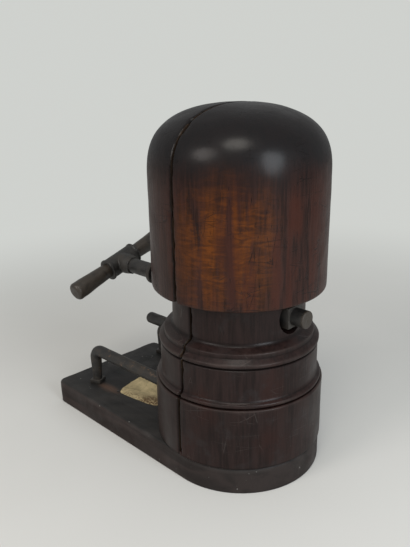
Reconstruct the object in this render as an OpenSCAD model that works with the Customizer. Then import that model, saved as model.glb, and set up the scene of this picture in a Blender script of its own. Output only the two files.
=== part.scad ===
// Adjustable wooden hat form: a domed crown on a turned pedestal, sawn in two.
// One half is screwed to a board, the other slides away from it on iron rods,
// driven by a long screw with a T-handle.
// Origin: on the board's underside, below the axis of the pedestal.
// +Z up, +X towards the fixed half, -X towards the handle. Millimetres.

/* [Base board] */
// Thickness of the board
board_t = 28.5; // [22:0.5:36]
// How far the board's round end lies inside the drum's side
board_edge_in = 2.5; // [1:0.5:6]
// Distance from the pedestal's axis to the middle of the round end
board_end_x = 1.5; // [0:0.5:6]
// How much each side of the board has drawn in at its tail
board_taper = 7; // [0:0.5:9]
// Distance from the middle of the rods' feet to the board's tail
board_beyond_feet = 38; // [24:1:70]
// Angle by which the tail is sawn out of square
board_tail_skew = 2; // [0:0.5:4]
// Radius of the tail's two corners
board_corner_r = 8; // [2:0.5:14]

/* [Pedestal] */
// How far the lower drum's side lies inside the crown's side
drum_in = 0.4; // [0:0.1:2]
// Height of the lower drum
drum_h = 65.9; // [60:0.1:80]
// Radius of the rounded edge on top of the lower drum
drum_edge_r = 1.4; // [0.5:0.1:2.5]
// How far the bead's widest point lies inside the drum's side
bead_in = 1.8; // [1:0.1:2.6]
// Height of the bead
bead_h = 5.6; // [4:0.2:8]
// How far the waist between the bead and the lip lies inside the drum's side
waist_in = 5.9; // [4.6:0.1:8]
// Height of the waist, from the bead to the groove below the lip
waist_h = 33.4; // [26:0.2:46]
// Depth of the groove below the lip
groove_depth = 1.9; // [0.5:0.1:4]
// Height of the groove below the lip
groove_h = 2.6; // [1.5:0.1:5]
// How far the lip lies inside the drum's side
lip_in = 4.8; // [3:0.1:5.4]
// Height of the lip, with the slope above it
lip_h = 8; // [5:0.2:12]
// How far the narrow band above the lip lies inside the drum's side
band_in = 10.2; // [7.4:0.2:14]
// Height of the narrow band
band_h = 4.6; // [2:0.2:8]
// Height of the sloping ledge from the band to the neck
ledge_h = 4.8; // [2:0.2:8]
// How far the neck lies inside the drum's side
neck_in = 19.4; // [16:0.2:26]
// Height of the neck below the crown
neck_h = 41.3; // [41.2:0.1:60]

/* [Crown] */
// Radius of the crown
crown_r = 88.4; // [82:0.2:98]
// Height of the crown from its lower edge to its top
crown_h = 176.6; // [130:1:210]
// Height of the domed part of the crown
dome_h = 69.5; // [40:0.5:90]
// Radius of the rounded lower edge of the crown
crown_edge_r = 2.2; // [0.5:0.1:6]
// Squareness of the dome seen from above its shoulder, 2 is round
dome_square_r = 2.27; // [2:0.01:3]
// Squareness of the dome at its top, 2 is round
dome_square_z = 3; // [2:0.05:4]

/* [Sawn split] */
// Place of the fixed half's sawn face along X
fixed_face_x = -1.7; // [-6:0.1:4]
// Gap between the two sawn faces when the form is closed
rest_gap = 2.6; // [1.6:0.1:6]
// Height of the low lip that fills the gap above the board
closing_lip_h = 4.6; // [2:0.2:10]
// Clearance between the closed lip and the moving half
closing_lip_gap = 0.3; // [0.2:0.05:0.8]
// Clearance below the moving half
underside_gap = 0.5; // [0.4:0.05:1]

/* [Lead screw] */
// Height of the screw's axis above the foot of the neck
screw_up = 21.2; // [19.8:0.1:22]
// Diameter of the screw
screw_d = 17.9; // [14:0.1:20]
// Thread pitch
thread_pitch = 4; // [3:0.5:6]
// Depth of the thread
thread_depth = 1.3; // [0.6:0.1:1.8]
// Distance that the moving half travels
travel = 50; // [30:1:52]
// Room between the neck and the stop flange when the form is fully open
stop_room = 5.7; // [2:0.1:12]
// Diameter of the stop flange
stop_d = 27; // [22:0.5:34]
// Thickness of the stop flange
stop_t = 5.5; // [3:0.5:8]
// How far the screw's plain end stands out of the neck
screw_beyond = 17.2; // [12:0.1:30]

/* [Screw bearings] */
// Diameter of the recess for the end nut
recess_d = 35.8; // [34.5:0.1:36.2]
// Depth of the recess, from the neck's side to its floor
recess_depth = 16.6; // [14:0.1:22]
// Diameter of the bearing plate on the recess floor
plate_d = 33; // [28:0.5:34]
// Thickness of the bearing plate
plate_t = 3; // [2:0.5:5]
// Width across the flats of the square end nut
end_nut_w = 21.5; // [20:0.5:24]
// Thickness of the end nut
end_nut_t = 16; // [10:0.5:18]
// Diameter of the thrust collar behind the sawn face
collar_d = 34; // [28:0.5:40]
// Thickness of the thrust collar
collar_t = 9; // [8:0.5:14]
// Diameter of the pin through the thrust collar
collar_pin_d = 4; // [3:0.5:5]

/* [Drive nut] */
// Width of the drive nut's square flange
drive_flange_w = 38; // [37:0.5:38.5]
// Thickness of the drive nut's flange
drive_flange_t = 6; // [4:0.5:8]
// Diameter of the drive nut's barrel
drive_barrel_d = 29; // [24:0.5:30]
// Length of the drive nut's barrel
drive_barrel_l = 24; // [14:1:34]
// Distance of the flange screws from the nut's axis, across and up
drive_screw_at = 14; // [13.6:0.1:14.4]

/* [T-handle] */
// Distance from the stop flange's inner face to the handle's axis
handle_beyond = 64.7; // [58:0.1:72]
// Diameter of the tee's sleeve
tee_d = 24.6; // [22:0.2:28]
// Length of the tee's sleeve
tee_l = 44; // [34:1:56]
// Height of the rim at each end of the sleeve
tee_rim_h = 0.9; // [0.4:0.1:1.5]
// Width of the rim at each end of the sleeve
tee_rim_w = 3; // [2:0.5:5]
// Length of the tapered socket on the screw, from the handle's axis
tee_socket_l = 24; // [21:1:32]
// Diameter of the rivet through the socket
rivet_d = 4; // [3:0.5:5]
// Diameter of the bar inside the sleeve
bar_d = 17.2; // [15:0.1:18]
// Diameter of the bar near its ends
bar_end_d = 21.4; // [18:0.1:24]
// Length of the bar
bar_l = 148; // [120:1:150]
// Tilt of the bar about the screw at rest
bar_tilt = 16.5; // [-60:0.5:60]

/* [Guide rods] */
// Diameter of the two bent guide rods
rod_d = 13.8; // [10:0.1:16]
// Diameter of each rod's threaded foot
rod_foot_d = 11.4; // [9:0.1:12]
// Radius of the rods' bend along the middle of the rod
rod_bend_r = 11; // [8:0.5:16]
// Room between the fully open drum and the middle of the rods' feet
rod_room = 52; // [44:0.5:64]
// How far the near rod's middle lies inside the drum's side
near_rod_in = 40.8; // [34:0.2:52]
// Height of the near rod's arm
near_rod_z = 73; // [64:0.2:80]
// How far the far rod's middle lies inside the drum's side
far_rod_in = 24; // [21:0.2:34]
// Height of the far rod's arm
far_rod_z = 67.5; // [60:0.2:78]
// Depth of the rods' sockets in the fixed half
socket_depth = 38; // [30:0.5:40]
// Diameter of the straight guide pin
pin_d = 13.4; // [10:0.1:16]
// Height of the guide pin
pin_z = 114.8; // [112.5:0.1:122]
// How far the guide pin still stands out when the form is fully open
pin_beyond = 9.9; // [4:0.1:20]
// Radius of the guide pin's rounded end
pin_round_r = 4.8; // [1:0.1:5]

/* [Fasteners] */
// Width across the flats of the rods' square nuts
rod_nut_w = 14; // [13:0.1:17]
// Thickness of the rods' square nuts
rod_nut_t = 5; // [4:0.1:7]
// Turn of the square nuts about the rods
rod_nut_turn = 23; // [0:1:45]
// Depth of the pockets for the nuts below the board
foot_pocket_depth = 12; // [10:0.5:14]
// Shank diameter of the wood screws up into the fixed half
wood_screw_d = 5; // [4:0.1:6]
// How far the front pair lies inside the drum's side
front_screw_in = 24; // [20:0.5:30]
// Half of the distance between the front pair
front_screw_y = 36; // [30:0.5:40]
// Place of the back pair along X
back_screw_x = 18; // [14:0.5:22]
// Half of the distance between the back pair
back_screw_y = 24; // [20:0.5:28]
// Length of these wood screws
wood_screw_l = 52; // [44:1:56]
// Shank diameter of the drive nut's flange screws
flange_screw_d = 4; // [3:0.1:4.5]
// Length of the drive nut's flange screws
flange_screw_l = 25; // [16:1:35]
// Diameter of the crown's dowels
dowel_d = 12; // [8:0.5:16]
// Length of the crown's dowels
dowel_l = 60; // [40:1:72]
// Distance of the dowels from the sawn face
dowel_in = 31; // [26:0.5:34]
// Half of the distance between a half's two dowels
dowel_half_span = 38; // [32:0.5:42]

/* [Paper label] */
// Length of the label
label_l = 68; // [50:1:70]
// Width of the label
label_w = 66; // [50:1:70]
// Thickness of the label
label_t = 0.2; // [0.15:0.01:0.2]
// Radius of the label's corners
label_corner_r = 7; // [4:0.5:14]
// Gap between the drum and the label
label_gap = 2.5; // [1:0.5:6]
// Place of the label's middle along Y
label_y = -12.5; // [-22:0.5:-8]
// Turn of the label about its middle
label_turn = 8; // [0:1:14]
// Diameter of the tack's head
tack_head_d = 3; // [2:0.1:5]
// Height of the tack's head
tack_head_h = 0.5; // [0.3:0.1:1]
// Length of the tack's shank
tack_l = 8; // [5:0.5:14]

/* [Hidden] */
$fn = 96;

// Clearances
running_gap = 0.08;    // around what slides or turns
seat_gap = 0.05;       // around what is driven in or screwed on
end_gap = 1;           // beyond the blind end of a driven piece
thrust_gap = 0.3;      // beside the faces that take the screw's thrust
overrun = 1;           // how far a cut runs past the face it starts from

// Colours
plum_wood = [0.27, 0.18, 0.17];
crown_wood = [0.38, 0.19, 0.10];
board_wood = [0.22, 0.18, 0.17];
dowel_wood = [0.72, 0.55, 0.36];
dark_iron = [0.20, 0.18, 0.17];
worn_iron = [0.36, 0.31, 0.27];
old_paper = [0.80, 0.73, 0.55];

// Radii of the pedestal and the board's end, from the crown's radius
drum_r = crown_r - drum_in;
bead_r = drum_r - bead_in;
waist_r = drum_r - waist_in;
lip_r = drum_r - lip_in;
band_r = drum_r - band_in;
neck_r = drum_r - neck_in;
board_end_r = drum_r - board_edge_in;
board_tail_half_w = board_end_r - board_taper;

// Heights of the pedestal, from the board up
drum_top_z = board_t + drum_h;
bead_top_z = drum_top_z + bead_h;
waist_top_z = bead_top_z + waist_h;
groove_top_z = waist_top_z + groove_h;
lip_top_z = groove_top_z + lip_h;
band_top_z = lip_top_z + band_h;
neck_foot_z = band_top_z + ledge_h;
screw_z = neck_foot_z + screw_up;
crown_z = neck_foot_z + neck_h;
crown_top_z = crown_z + crown_h;

// Places and radii that follow from the sizes above
moving_face_x = fixed_face_x - rest_gap;
stop_face_x = -(neck_r + travel + stop_room);
handle_x = stop_face_x - handle_beyond;
screw_tip_x = neck_r + screw_beyond;
recess_floor_x = neck_r - recess_depth;
rod_foot_x = -(drum_r + travel + rod_room);
near_rod_y = near_rod_in - drum_r;
far_rod_y = drum_r - far_rod_in;
pin_tip_x = -(waist_r + travel + pin_beyond);
board_tail_x = board_beyond_feet - rod_foot_x;
label_x = -(drum_r + label_gap + label_l / 2);
screw_r = screw_d / 2;
rod_r = rod_d / 2;
foot_r = rod_foot_d / 2;
pin_r = pin_d / 2;
socket_end_x = fixed_face_x + socket_depth;
collar_face_x = fixed_face_x + thrust_gap;
collar_seat_x = collar_face_x + collar_t + thrust_gap;
collar_mid_x = collar_face_x + collar_t / 2;
plate_face_x = recess_floor_x + plate_t;
end_nut_x = plate_face_x + thrust_gap;
drive_barrel_end_x = moving_face_x - drive_flange_t - drive_barrel_l;
rivet_x = handle_x + tee_socket_l - rivet_d;
foot_end_z = 4;
far_out = 400;

// Dome curve
dome_steps = 26;
arc_steps = 8;
round_end_steps = 60;
function dome_point(a) = [crown_r * pow(cos(a), 2 / dome_square_r),
    crown_top_z - dome_h + dome_h * pow(sin(a), 2 / dome_square_z)];

// Points of an arc about a centre, from one angle to another
function arc(centre, r, from, to, steps = arc_steps) =
    [for (i = [0:steps]) centre + r * [cos(from + (to - from) * i / steps),
                                       sin(from + (to - from) * i / steps)]];

// Turned outline of the pedestal as radius and height
bead_core_r = bead_r - bead_h / 3;
lip_edge_r = 1.2;
lip_face_h = 1.6;
ledge_edge_r = 1;
neck_fillet_r = 1.6;
pedestal_outline = concat(
    [[0, board_t], [drum_r, board_t]],
    arc([drum_r - drum_edge_r, drum_top_z - drum_edge_r], drum_edge_r, 0, 90),
    [[bead_core_r - 0.8, drum_top_z + 0.2]],
    [for (a = [-80:20:80]) [bead_core_r + (bead_r - bead_core_r) * cos(a),
                            drum_top_z + bead_h / 2 + (bead_h / 2 - 0.4) * sin(a)]],
    [[waist_r + 0.8, bead_top_z + 0.8], [waist_r, bead_top_z + 3]],
    [[waist_r, waist_top_z], [waist_r - groove_depth, waist_top_z + groove_h * 0.4]],
    [[waist_r - groove_depth, groove_top_z - groove_h * 0.3]],
    [[lip_r - lip_edge_r, groove_top_z]],
    arc([lip_r - lip_edge_r, groove_top_z + lip_edge_r], lip_edge_r, -60, 0, 4),
    arc([lip_r - lip_edge_r, groove_top_z + lip_edge_r + lip_face_h], lip_edge_r, 0, 50, 4),
    [[band_r, lip_top_z]],
    arc([band_r - ledge_edge_r, band_top_z - ledge_edge_r], ledge_edge_r, 0, 60, 4),
    [[neck_r + neck_fillet_r, neck_foot_z - neck_fillet_r * 0.6]],
    [[neck_r, neck_foot_z + neck_fillet_r], [neck_r, crown_z], [0, crown_z]]);

// Turned outline of the crown
crown_outline = concat(
    [[0, crown_z]],
    arc([crown_r - crown_edge_r, crown_z + crown_edge_r], crown_edge_r, -90, 0),
    [for (i = [0:dome_steps - 1]) dome_point(90 * i / dome_steps)],
    [[0, crown_top_z]]);

// Places that repeat
front_screw_x = drum_r - front_screw_in;
fixed_screw_places = [[back_screw_x, -back_screw_y], [back_screw_x, back_screw_y],
    [front_screw_x, -front_screw_y], [front_screw_x, front_screw_y]];
side_signs = [-1, 1];

// Shapes that several pieces share

// A bar or bore along X between two places, at a height and a place across
module along_x(x0, x1, y, z, r) {
    translate([x0, y, z]) rotate([0, 90, 0]) cylinder(h = x1 - x0, r = r);
}

// Everything on the fixed half's side of the split
module fixed_side() {
    translate([fixed_face_x, -far_out / 2, -overrun]) cube([far_out, far_out, far_out * 2]);
}

// Everything on the moving half's side of the split
module moving_side() {
    translate([moving_face_x - far_out, -far_out / 2, board_t + underside_gap])
        cube([far_out, far_out, far_out * 2]);
}

module turned_pedestal() {
    rotate_extrude() polygon(pedestal_outline);
}

module turned_crown() {
    rotate_extrude() polygon(crown_outline);
}

// The two dowels of one half, or their holes with a gap round them
module dowel_pair(face_x, side, gap = 0) {
    for (s = side_signs)
        translate([face_x + side * dowel_in, s * dowel_half_span, crown_z - dowel_l / 2 - gap_end(gap)])
            cylinder(h = dowel_l + 2 * gap_end(gap), d = dowel_d + 2 * gap);
}
function gap_end(gap) = gap > 0 ? end_gap : 0;

// Square nut about the Z axis with its lower face at zero
module square_nut(width, thickness, bore_d) {
    difference() {
        translate([-width / 2, -width / 2, 0]) cube([width, width, thickness]);
        translate([0, 0, -overrun]) cylinder(h = thickness + 2 * overrun, d = bore_d);
    }
}

// Wood screw about the Z axis, its flat head at zero and its point up
screw_head_factor = 1.9;
module wood_screw(d, l, gap = 0) {
    head_h = d * 0.6;
    cylinder(h = head_h, r1 = d * screw_head_factor / 2 + gap, r2 = d / 2 + gap);
    cylinder(h = gap > 0 ? l + end_gap : l - d, d = d + 2 * gap);
    if (gap == 0) translate([0, 0, l - d]) cylinder(h = d, d1 = d, d2 = d * 0.2);
}

// Corner of a foot pocket and the feet that pass through the board
module at_feet() {
    for (y = [near_rod_y, far_rod_y]) translate([rod_foot_x, y, 0]) children();
}

module at_pedestal_screws() {
    for (p = fixed_screw_places) translate([p[0], p[1], screw_sink]) children();
}
screw_sink = 0.6;

// Place of the tack, on the label's corner nearest the tail
module at_tack() {
    translate([label_x, label_y, board_t]) rotate(label_turn)
        translate([tack_inset - label_l / 2, tack_inset - label_w / 2, 0]) children();
}
tack_shank_d = 1.1;
tack_inset = tack_shank_d * 0.6 + label_corner_r * 0.3;

// Board and what is fixed to it

// The straight sides run from the tail's corners and just touch the round end
tail_reach = board_tail_x + board_end_x;
tail_dist = sqrt(pow(tail_reach, 2) + pow(board_tail_half_w, 2));
touch_angle = 180 - atan(board_tail_half_w / tail_reach) - acos(board_end_r / tail_dist);
tail_skew_shift = board_tail_half_w * tan(board_tail_skew);

// Rounded corner of the tail on one side, walked away from the near long edge
function tail_corner(side) =
    let (c = [-board_tail_x + side * tail_skew_shift + board_corner_r,
              side * (board_tail_half_w - board_corner_r)])
    side > 0 ? arc(c, board_corner_r, touch_angle, 180) : arc(c, board_corner_r, 180, 360 - touch_angle);

module board_outline() {
    polygon(concat(
        arc([board_end_x, 0], board_end_r, -touch_angle, touch_angle, round_end_steps),
        tail_corner(1),
        tail_corner(-1)));
}

module base_board() {
    color(board_wood) difference() {
        linear_extrude(board_t) board_outline();
        at_feet() translate([0, 0, -overrun])
            cylinder(h = board_t + 2 * overrun, r = foot_r + seat_gap);
        at_feet() translate([0, 0, -overrun])
            cylinder(h = foot_pocket_depth + overrun, r = rod_nut_w * 0.8);
        at_pedestal_screws() wood_screw(wood_screw_d, board_t + wood_screw_d, seat_gap);
        at_pedestal_screws() translate([0, 0, -overrun])
            cylinder(h = overrun + 0.01, d = wood_screw_d * screw_head_factor + 2 * seat_gap);
        at_tack() translate([0, 0, -tack_l - overrun]) cylinder(h = tack_l + 2 * overrun, d = tack_shank_d);
    }
}

module fixed_pedestal() {
    color(plum_wood) difference() {
        union() {
            intersection() {
                turned_pedestal();
                fixed_side();
            }
            closing_lip();
        }
        along_x(fixed_face_x - overrun, recess_floor_x + overrun, 0, screw_z, screw_r + running_gap);
        along_x(fixed_face_x - overrun, collar_seat_x, 0, screw_z, collar_d / 2 + thrust_gap);
        along_x(recess_floor_x, drum_r + overrun, 0, screw_z, recess_d / 2);
        along_x(fixed_face_x - overrun, socket_end_x + end_gap, near_rod_y, near_rod_z, rod_r + seat_gap);
        along_x(fixed_face_x - overrun, socket_end_x + end_gap, far_rod_y, far_rod_z, rod_r + seat_gap);
        along_x(fixed_face_x - overrun, socket_end_x + end_gap, 0, pin_z, pin_r + seat_gap);
        dowel_pair(fixed_face_x, 1, seat_gap);
        at_pedestal_screws() wood_screw(wood_screw_d, wood_screw_l, seat_gap);
    }
}

// Low lip of the fixed half that meets the moving half when the form is closed
module closing_lip() {
    intersection() {
        translate([moving_face_x + closing_lip_gap, -drum_r, board_t])
            cube([rest_gap - closing_lip_gap + overrun, 2 * drum_r, closing_lip_h]);
        cylinder(h = drum_top_z, r = drum_r);
    }
}

module fixed_crown() {
    color(crown_wood) difference() {
        intersection() {
            turned_crown();
            fixed_side();
        }
        dowel_pair(fixed_face_x, 1, seat_gap);
    }
}

module fixed_crown_dowels() {
    color(dowel_wood) dowel_pair(fixed_face_x, 1);
}

module pedestal_screws() {
    color(worn_iron) at_pedestal_screws() wood_screw(wood_screw_d, wood_screw_l);
}

// Iron rod: an arm into the fixed half, a bend, and a foot down through the board
module guide_rod(y, z) {
    bend_z = z - rod_bend_r;
    bend_x = rod_foot_x + rod_bend_r;
    taper_end_z = board_t + rod_nut_t + 2;
    color(worn_iron) union() {
        along_x(bend_x, socket_end_x, y, z, rod_r);
        translate([bend_x, y, bend_z]) rotate([90, 0, 0])
            rotate([0, 0, 90]) rotate_extrude(angle = 90)
                translate([rod_bend_r, 0]) circle(r = rod_r);
        translate([rod_foot_x, y, taper_end_z])
            cylinder(h = bend_z - taper_end_z, r1 = foot_r, r2 = rod_r);
        translate([rod_foot_x, y, foot_end_z]) cylinder(h = taper_end_z - foot_end_z, r = foot_r);
    }
}

module near_guide_rod() {
    guide_rod(near_rod_y, near_rod_z);
}

module far_guide_rod() {
    guide_rod(far_rod_y, far_rod_z);
}

// Straight pin with a rounded free end
module guide_pin() {
    length = socket_end_x - pin_tip_x;
    color(dark_iron) translate([pin_tip_x, 0, pin_z]) rotate([0, 90, 0]) rotate_extrude()
        polygon(concat(
            [[0, 0]],
            arc([pin_r - pin_round_r, pin_round_r], pin_round_r, -90, 0),
            [[pin_r, length], [0, length]]));
}

module rod_nuts() {
    color(dark_iron) at_feet() translate([0, 0, board_t]) rotate(rod_nut_turn)
        square_nut(rod_nut_w, rod_nut_t, rod_foot_d + 2 * seat_gap);
}

module rod_foot_nuts() {
    color(dark_iron) at_feet() translate([0, 0, foot_pocket_depth - rod_nut_t])
        square_nut(rod_nut_w, rod_nut_t, rod_foot_d + 2 * seat_gap);
}

module bearing_plate() {
    color(dark_iron) difference() {
        along_x(recess_floor_x, plate_face_x, 0, screw_z, plate_d / 2);
        along_x(recess_floor_x - overrun, plate_face_x + overrun, 0, screw_z, screw_r + running_gap);
    }
}

// Rectangle with rounded corners about the origin
module label_outline() {
    inner_l = label_l - 2 * label_corner_r;
    inner_w = label_w - 2 * label_corner_r;
    square([inner_l, label_w], center = true);
    square([label_l, inner_w], center = true);
    for (sx = side_signs, sy = side_signs)
        translate([sx * inner_l / 2, sy * inner_w / 2]) circle(r = label_corner_r);
}

module paper_label() {
    color(old_paper) difference() {
        translate([label_x, label_y, board_t]) rotate(label_turn)
            linear_extrude(label_t) label_outline();
        at_tack() translate([0, 0, -overrun]) cylinder(h = label_t + 2 * overrun, d = tack_shank_d);
    }
}

module label_tack() {
    color(dark_iron) at_tack() {
        translate([0, 0, label_t]) cylinder(h = tack_head_h, d = tack_head_d);
        translate([0, 0, -tack_l]) cylinder(h = tack_l + label_t, d = tack_shank_d - 2 * seat_gap);
    }
}

// Moving half

module moving_pedestal() {
    pocket_w = drive_flange_w + 2 * seat_gap;
    color(plum_wood) difference() {
        intersection() {
            turned_pedestal();
            moving_side();
        }
        along_x(-drum_r - overrun, moving_face_x + overrun, 0, screw_z, screw_r + end_gap);
        along_x(drive_barrel_end_x, moving_face_x + overrun, 0, screw_z, drive_barrel_d / 2 + seat_gap);
        translate([moving_face_x - drive_flange_t, -pocket_w / 2, screw_z - pocket_w / 2])
            cube([drive_flange_t + overrun, pocket_w, pocket_w]);
        along_x(-drum_r - overrun, moving_face_x + overrun, near_rod_y, near_rod_z, rod_r + running_gap);
        along_x(-drum_r - overrun, moving_face_x + overrun, far_rod_y, far_rod_z, rod_r + running_gap);
        along_x(-drum_r - overrun, moving_face_x + overrun, 0, pin_z, pin_r + running_gap);
        dowel_pair(moving_face_x, -1, seat_gap);
        at_flange_screws() wood_screw(flange_screw_d, flange_screw_l, seat_gap);
    }
}

module moving_crown() {
    color(crown_wood) difference() {
        intersection() {
            turned_crown();
            moving_side();
        }
        dowel_pair(moving_face_x, -1, seat_gap);
    }
}

module moving_crown_dowels() {
    color(dowel_wood) dowel_pair(moving_face_x, -1);
}

module drive_nut() {
    color(dark_iron) difference() {
        union() {
            translate([moving_face_x - drive_flange_t, -drive_flange_w / 2, screw_z - drive_flange_w / 2])
                cube([drive_flange_t, drive_flange_w, drive_flange_w]);
            along_x(drive_barrel_end_x, moving_face_x - overrun, 0, screw_z, drive_barrel_d / 2);
        }
        along_x(drive_barrel_end_x - overrun, moving_face_x + overrun, 0, screw_z, screw_r + running_gap);
        at_flange_screws() wood_screw(flange_screw_d, flange_screw_l, seat_gap);
    }
}

// The four flange screws, heads flush with the sawn face and points towards -X
module at_flange_screws() {
    for (sy = side_signs, sz = side_signs)
        translate([moving_face_x, sy * drive_screw_at, screw_z + sz * drive_screw_at])
            rotate([0, -90, 0]) children();
}

module drive_nut_screws() {
    color(worn_iron) at_flange_screws() wood_screw(flange_screw_d, flange_screw_l);
}

// Screw and handle

// Thread as a row of ridges along the part of the screw that the nut covers
thread_start_x = stop_face_x + 2;
thread_end_x = collar_face_x - 2;
thread_turns = floor((thread_end_x - thread_start_x) / thread_pitch);
thread_root_r = screw_r - thread_depth;
thread_outline = [for (i = [0:thread_turns - 1], p = [[0.1, 0], [0.32, 1], [0.56, 1], [0.78, 0]])
    [screw_r - p[1] * thread_depth, thread_start_x + (i + p[0]) * thread_pitch]];

module lead_screw() {
    screw_start_x = handle_x + bar_d / 2 + overrun;
    tip_chamfer = 1.2;
    stop_fillet = 4;
    color(dark_iron) difference() {
        translate([0, 0, screw_z]) rotate([0, 90, 0]) rotate_extrude()
            polygon(concat(
                [[0, screw_start_x], [screw_r, screw_start_x]],
                [[screw_r, stop_face_x - stop_t - stop_fillet]],
                [[stop_d / 2 - 1, stop_face_x - stop_t], [stop_d / 2, stop_face_x - stop_t + 1]],
                [[stop_d / 2, stop_face_x], [screw_r, stop_face_x]],
                thread_outline,
                [[screw_r, thread_end_x + 1], [screw_r, screw_tip_x - tip_chamfer]],
                [[screw_r - tip_chamfer, screw_tip_x], [0, screw_tip_x]]));
        translate([collar_mid_x, 0, screw_z]) cylinder(h = collar_d, d = collar_pin_d + 2 * seat_gap, center = true);
        translate([rivet_x, 0, screw_z]) rotate([bar_tilt, 0, 0])
            cylinder(h = tee_d * 2, d = rivet_d + 2 * seat_gap, center = true);
    }
}

module thrust_collar() {
    color(worn_iron) difference() {
        along_x(collar_face_x, collar_face_x + collar_t, 0, screw_z, collar_d / 2);
        along_x(collar_face_x - overrun, collar_seat_x, 0, screw_z, screw_r + seat_gap);
        translate([collar_mid_x, 0, screw_z]) cylinder(h = collar_d * 2, d = collar_pin_d + 2 * seat_gap, center = true);
    }
}

module collar_pin() {
    color(worn_iron) translate([collar_mid_x, 0, screw_z])
        cylinder(h = collar_d - 2 * collar_pin_d / 4, d = collar_pin_d, center = true);
}

module end_nut() {
    color(dark_iron) translate([end_nut_x, 0, screw_z]) rotate([0, 90, 0])
        square_nut(end_nut_w, end_nut_t, screw_d + 2 * seat_gap);
}

// Turns its children about the screw, with Z along the handle's bar
module along_bar() {
    translate([handle_x, 0, screw_z]) rotate([bar_tilt, 0, 0]) rotate([-90, 0, 0]) children();
}

module handle_tee() {
    socket_tip_r = screw_r + 1.6;
    color(dark_iron) difference() {
        union() {
            along_bar() cylinder(h = tee_l, d = tee_d, center = true);
            for (s = side_signs) along_bar()
                translate([0, 0, s * (tee_l - tee_rim_w) / 2])
                    cylinder(h = tee_rim_w, d = tee_d + 2 * tee_rim_h, center = true);
            translate([handle_x, 0, screw_z]) rotate([0, 90, 0])
                cylinder(h = tee_socket_l, r1 = tee_d / 2, r2 = socket_tip_r);
        }
        along_bar() cylinder(h = tee_l + 2 * overrun, d = bar_d + 2 * seat_gap, center = true);
        along_x(handle_x, handle_x + tee_socket_l + overrun, 0, screw_z, screw_r + seat_gap);
        translate([rivet_x, 0, screw_z]) rotate([bar_tilt, 0, 0])
            cylinder(h = tee_d * 2, d = rivet_d + 2 * seat_gap, center = true);
    }
}

module tee_rivet() {
    rivet_l = screw_d + 2 * 2;
    color(worn_iron) translate([rivet_x, 0, screw_z]) rotate([bar_tilt, 0, 0])
        cylinder(h = rivet_l, d = rivet_d, center = true);
}

// Bar with a plain middle in the sleeve, swelling towards two rounded ends
module handle_bar() {
    end_round = 4;
    swell_start = tee_l / 2 + 2;
    half = bar_l / 2;
    bar_r = bar_d / 2;
    end_r = bar_end_d / 2;
    end_arc = arc([end_r - end_round, half - end_round], end_round, 0, 90);
    half_outline = concat([[bar_r, swell_start], [end_r, half - end_round * 2]], end_arc, [[0, half]]);
    color(worn_iron) along_bar() rotate_extrude()
        polygon(concat(
            [for (i = [len(half_outline) - 1:-1:0]) [half_outline[i][0], -half_outline[i][1]]],
            half_outline));
}

base_board();
fixed_pedestal();
fixed_crown();
fixed_crown_dowels();
pedestal_screws();
near_guide_rod();
far_guide_rod();
guide_pin();
rod_nuts();
rod_foot_nuts();
bearing_plate();
paper_label();
label_tack();
moving_pedestal();
moving_crown();
moving_crown_dowels();
drive_nut();
drive_nut_screws();
lead_screw();
thrust_collar();
collar_pin();
end_nut();
handle_tee();
tee_rivet();
handle_bar();
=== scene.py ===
"""Dresses the split hat form: worn wooden crown and pedestal on a board, iron rods, screw and T-handle."""

import math

import bmesh
import bpy
from bpy.props import FloatProperty, FloatVectorProperty, IntProperty, PointerProperty
from mathutils import Matrix, Vector, noise


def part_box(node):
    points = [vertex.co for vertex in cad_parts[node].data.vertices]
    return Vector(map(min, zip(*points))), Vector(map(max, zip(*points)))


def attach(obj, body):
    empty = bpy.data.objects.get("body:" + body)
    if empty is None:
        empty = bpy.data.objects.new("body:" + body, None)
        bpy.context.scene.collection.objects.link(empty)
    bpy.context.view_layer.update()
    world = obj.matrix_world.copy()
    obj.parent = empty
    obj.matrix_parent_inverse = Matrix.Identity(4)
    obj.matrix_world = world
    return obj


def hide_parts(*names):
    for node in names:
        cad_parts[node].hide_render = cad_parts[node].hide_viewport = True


bl_info = {
    "name": "Split Hat Form",
    "version": (1, 0, 0),
    "blender": (4, 5, 0),
    "location": "View3D > Sidebar > Hat Form",
    "description": "Builds an adjustable wooden hat form with its board, rods, screw and handle",
    "category": "Add Mesh",
}

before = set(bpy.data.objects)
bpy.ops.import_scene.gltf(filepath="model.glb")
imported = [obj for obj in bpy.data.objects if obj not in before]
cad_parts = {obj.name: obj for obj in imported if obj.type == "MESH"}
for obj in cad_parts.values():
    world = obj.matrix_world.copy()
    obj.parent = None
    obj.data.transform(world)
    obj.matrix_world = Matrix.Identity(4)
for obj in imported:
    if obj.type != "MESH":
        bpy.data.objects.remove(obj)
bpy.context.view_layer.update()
MM = 0.001

# Places read from the frame, in metres
CROWN_LOW, CROWN_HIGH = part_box("fixed_crown")
MOVING_LOW, MOVING_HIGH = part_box("moving_crown")
BOARD_LOW, BOARD_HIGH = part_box("base_board")
SCREW_LOW, SCREW_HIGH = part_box("lead_screw")
NEAR_LOW, NEAR_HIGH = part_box("near_guide_rod")
FAR_LOW, FAR_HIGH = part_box("far_guide_rod")
PIN_LOW, PIN_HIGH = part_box("guide_pin")
BAR_LOW, BAR_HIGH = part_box("handle_bar")
LABEL_LOW, LABEL_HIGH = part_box("paper_label")
FIXED_FACE = CROWN_LOW[0]
MOVING_FACE = MOVING_HIGH[0]
SCREW_Z = (SCREW_LOW[2] + SCREW_HIGH[2]) / 2
HANDLE_X = (BAR_LOW[0] + BAR_HIGH[0]) / 2
BOARD_TOP = BOARD_HIGH[2]
CROWN_FOOT = CROWN_LOW[2]


# Property groups: what a user would change

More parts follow.
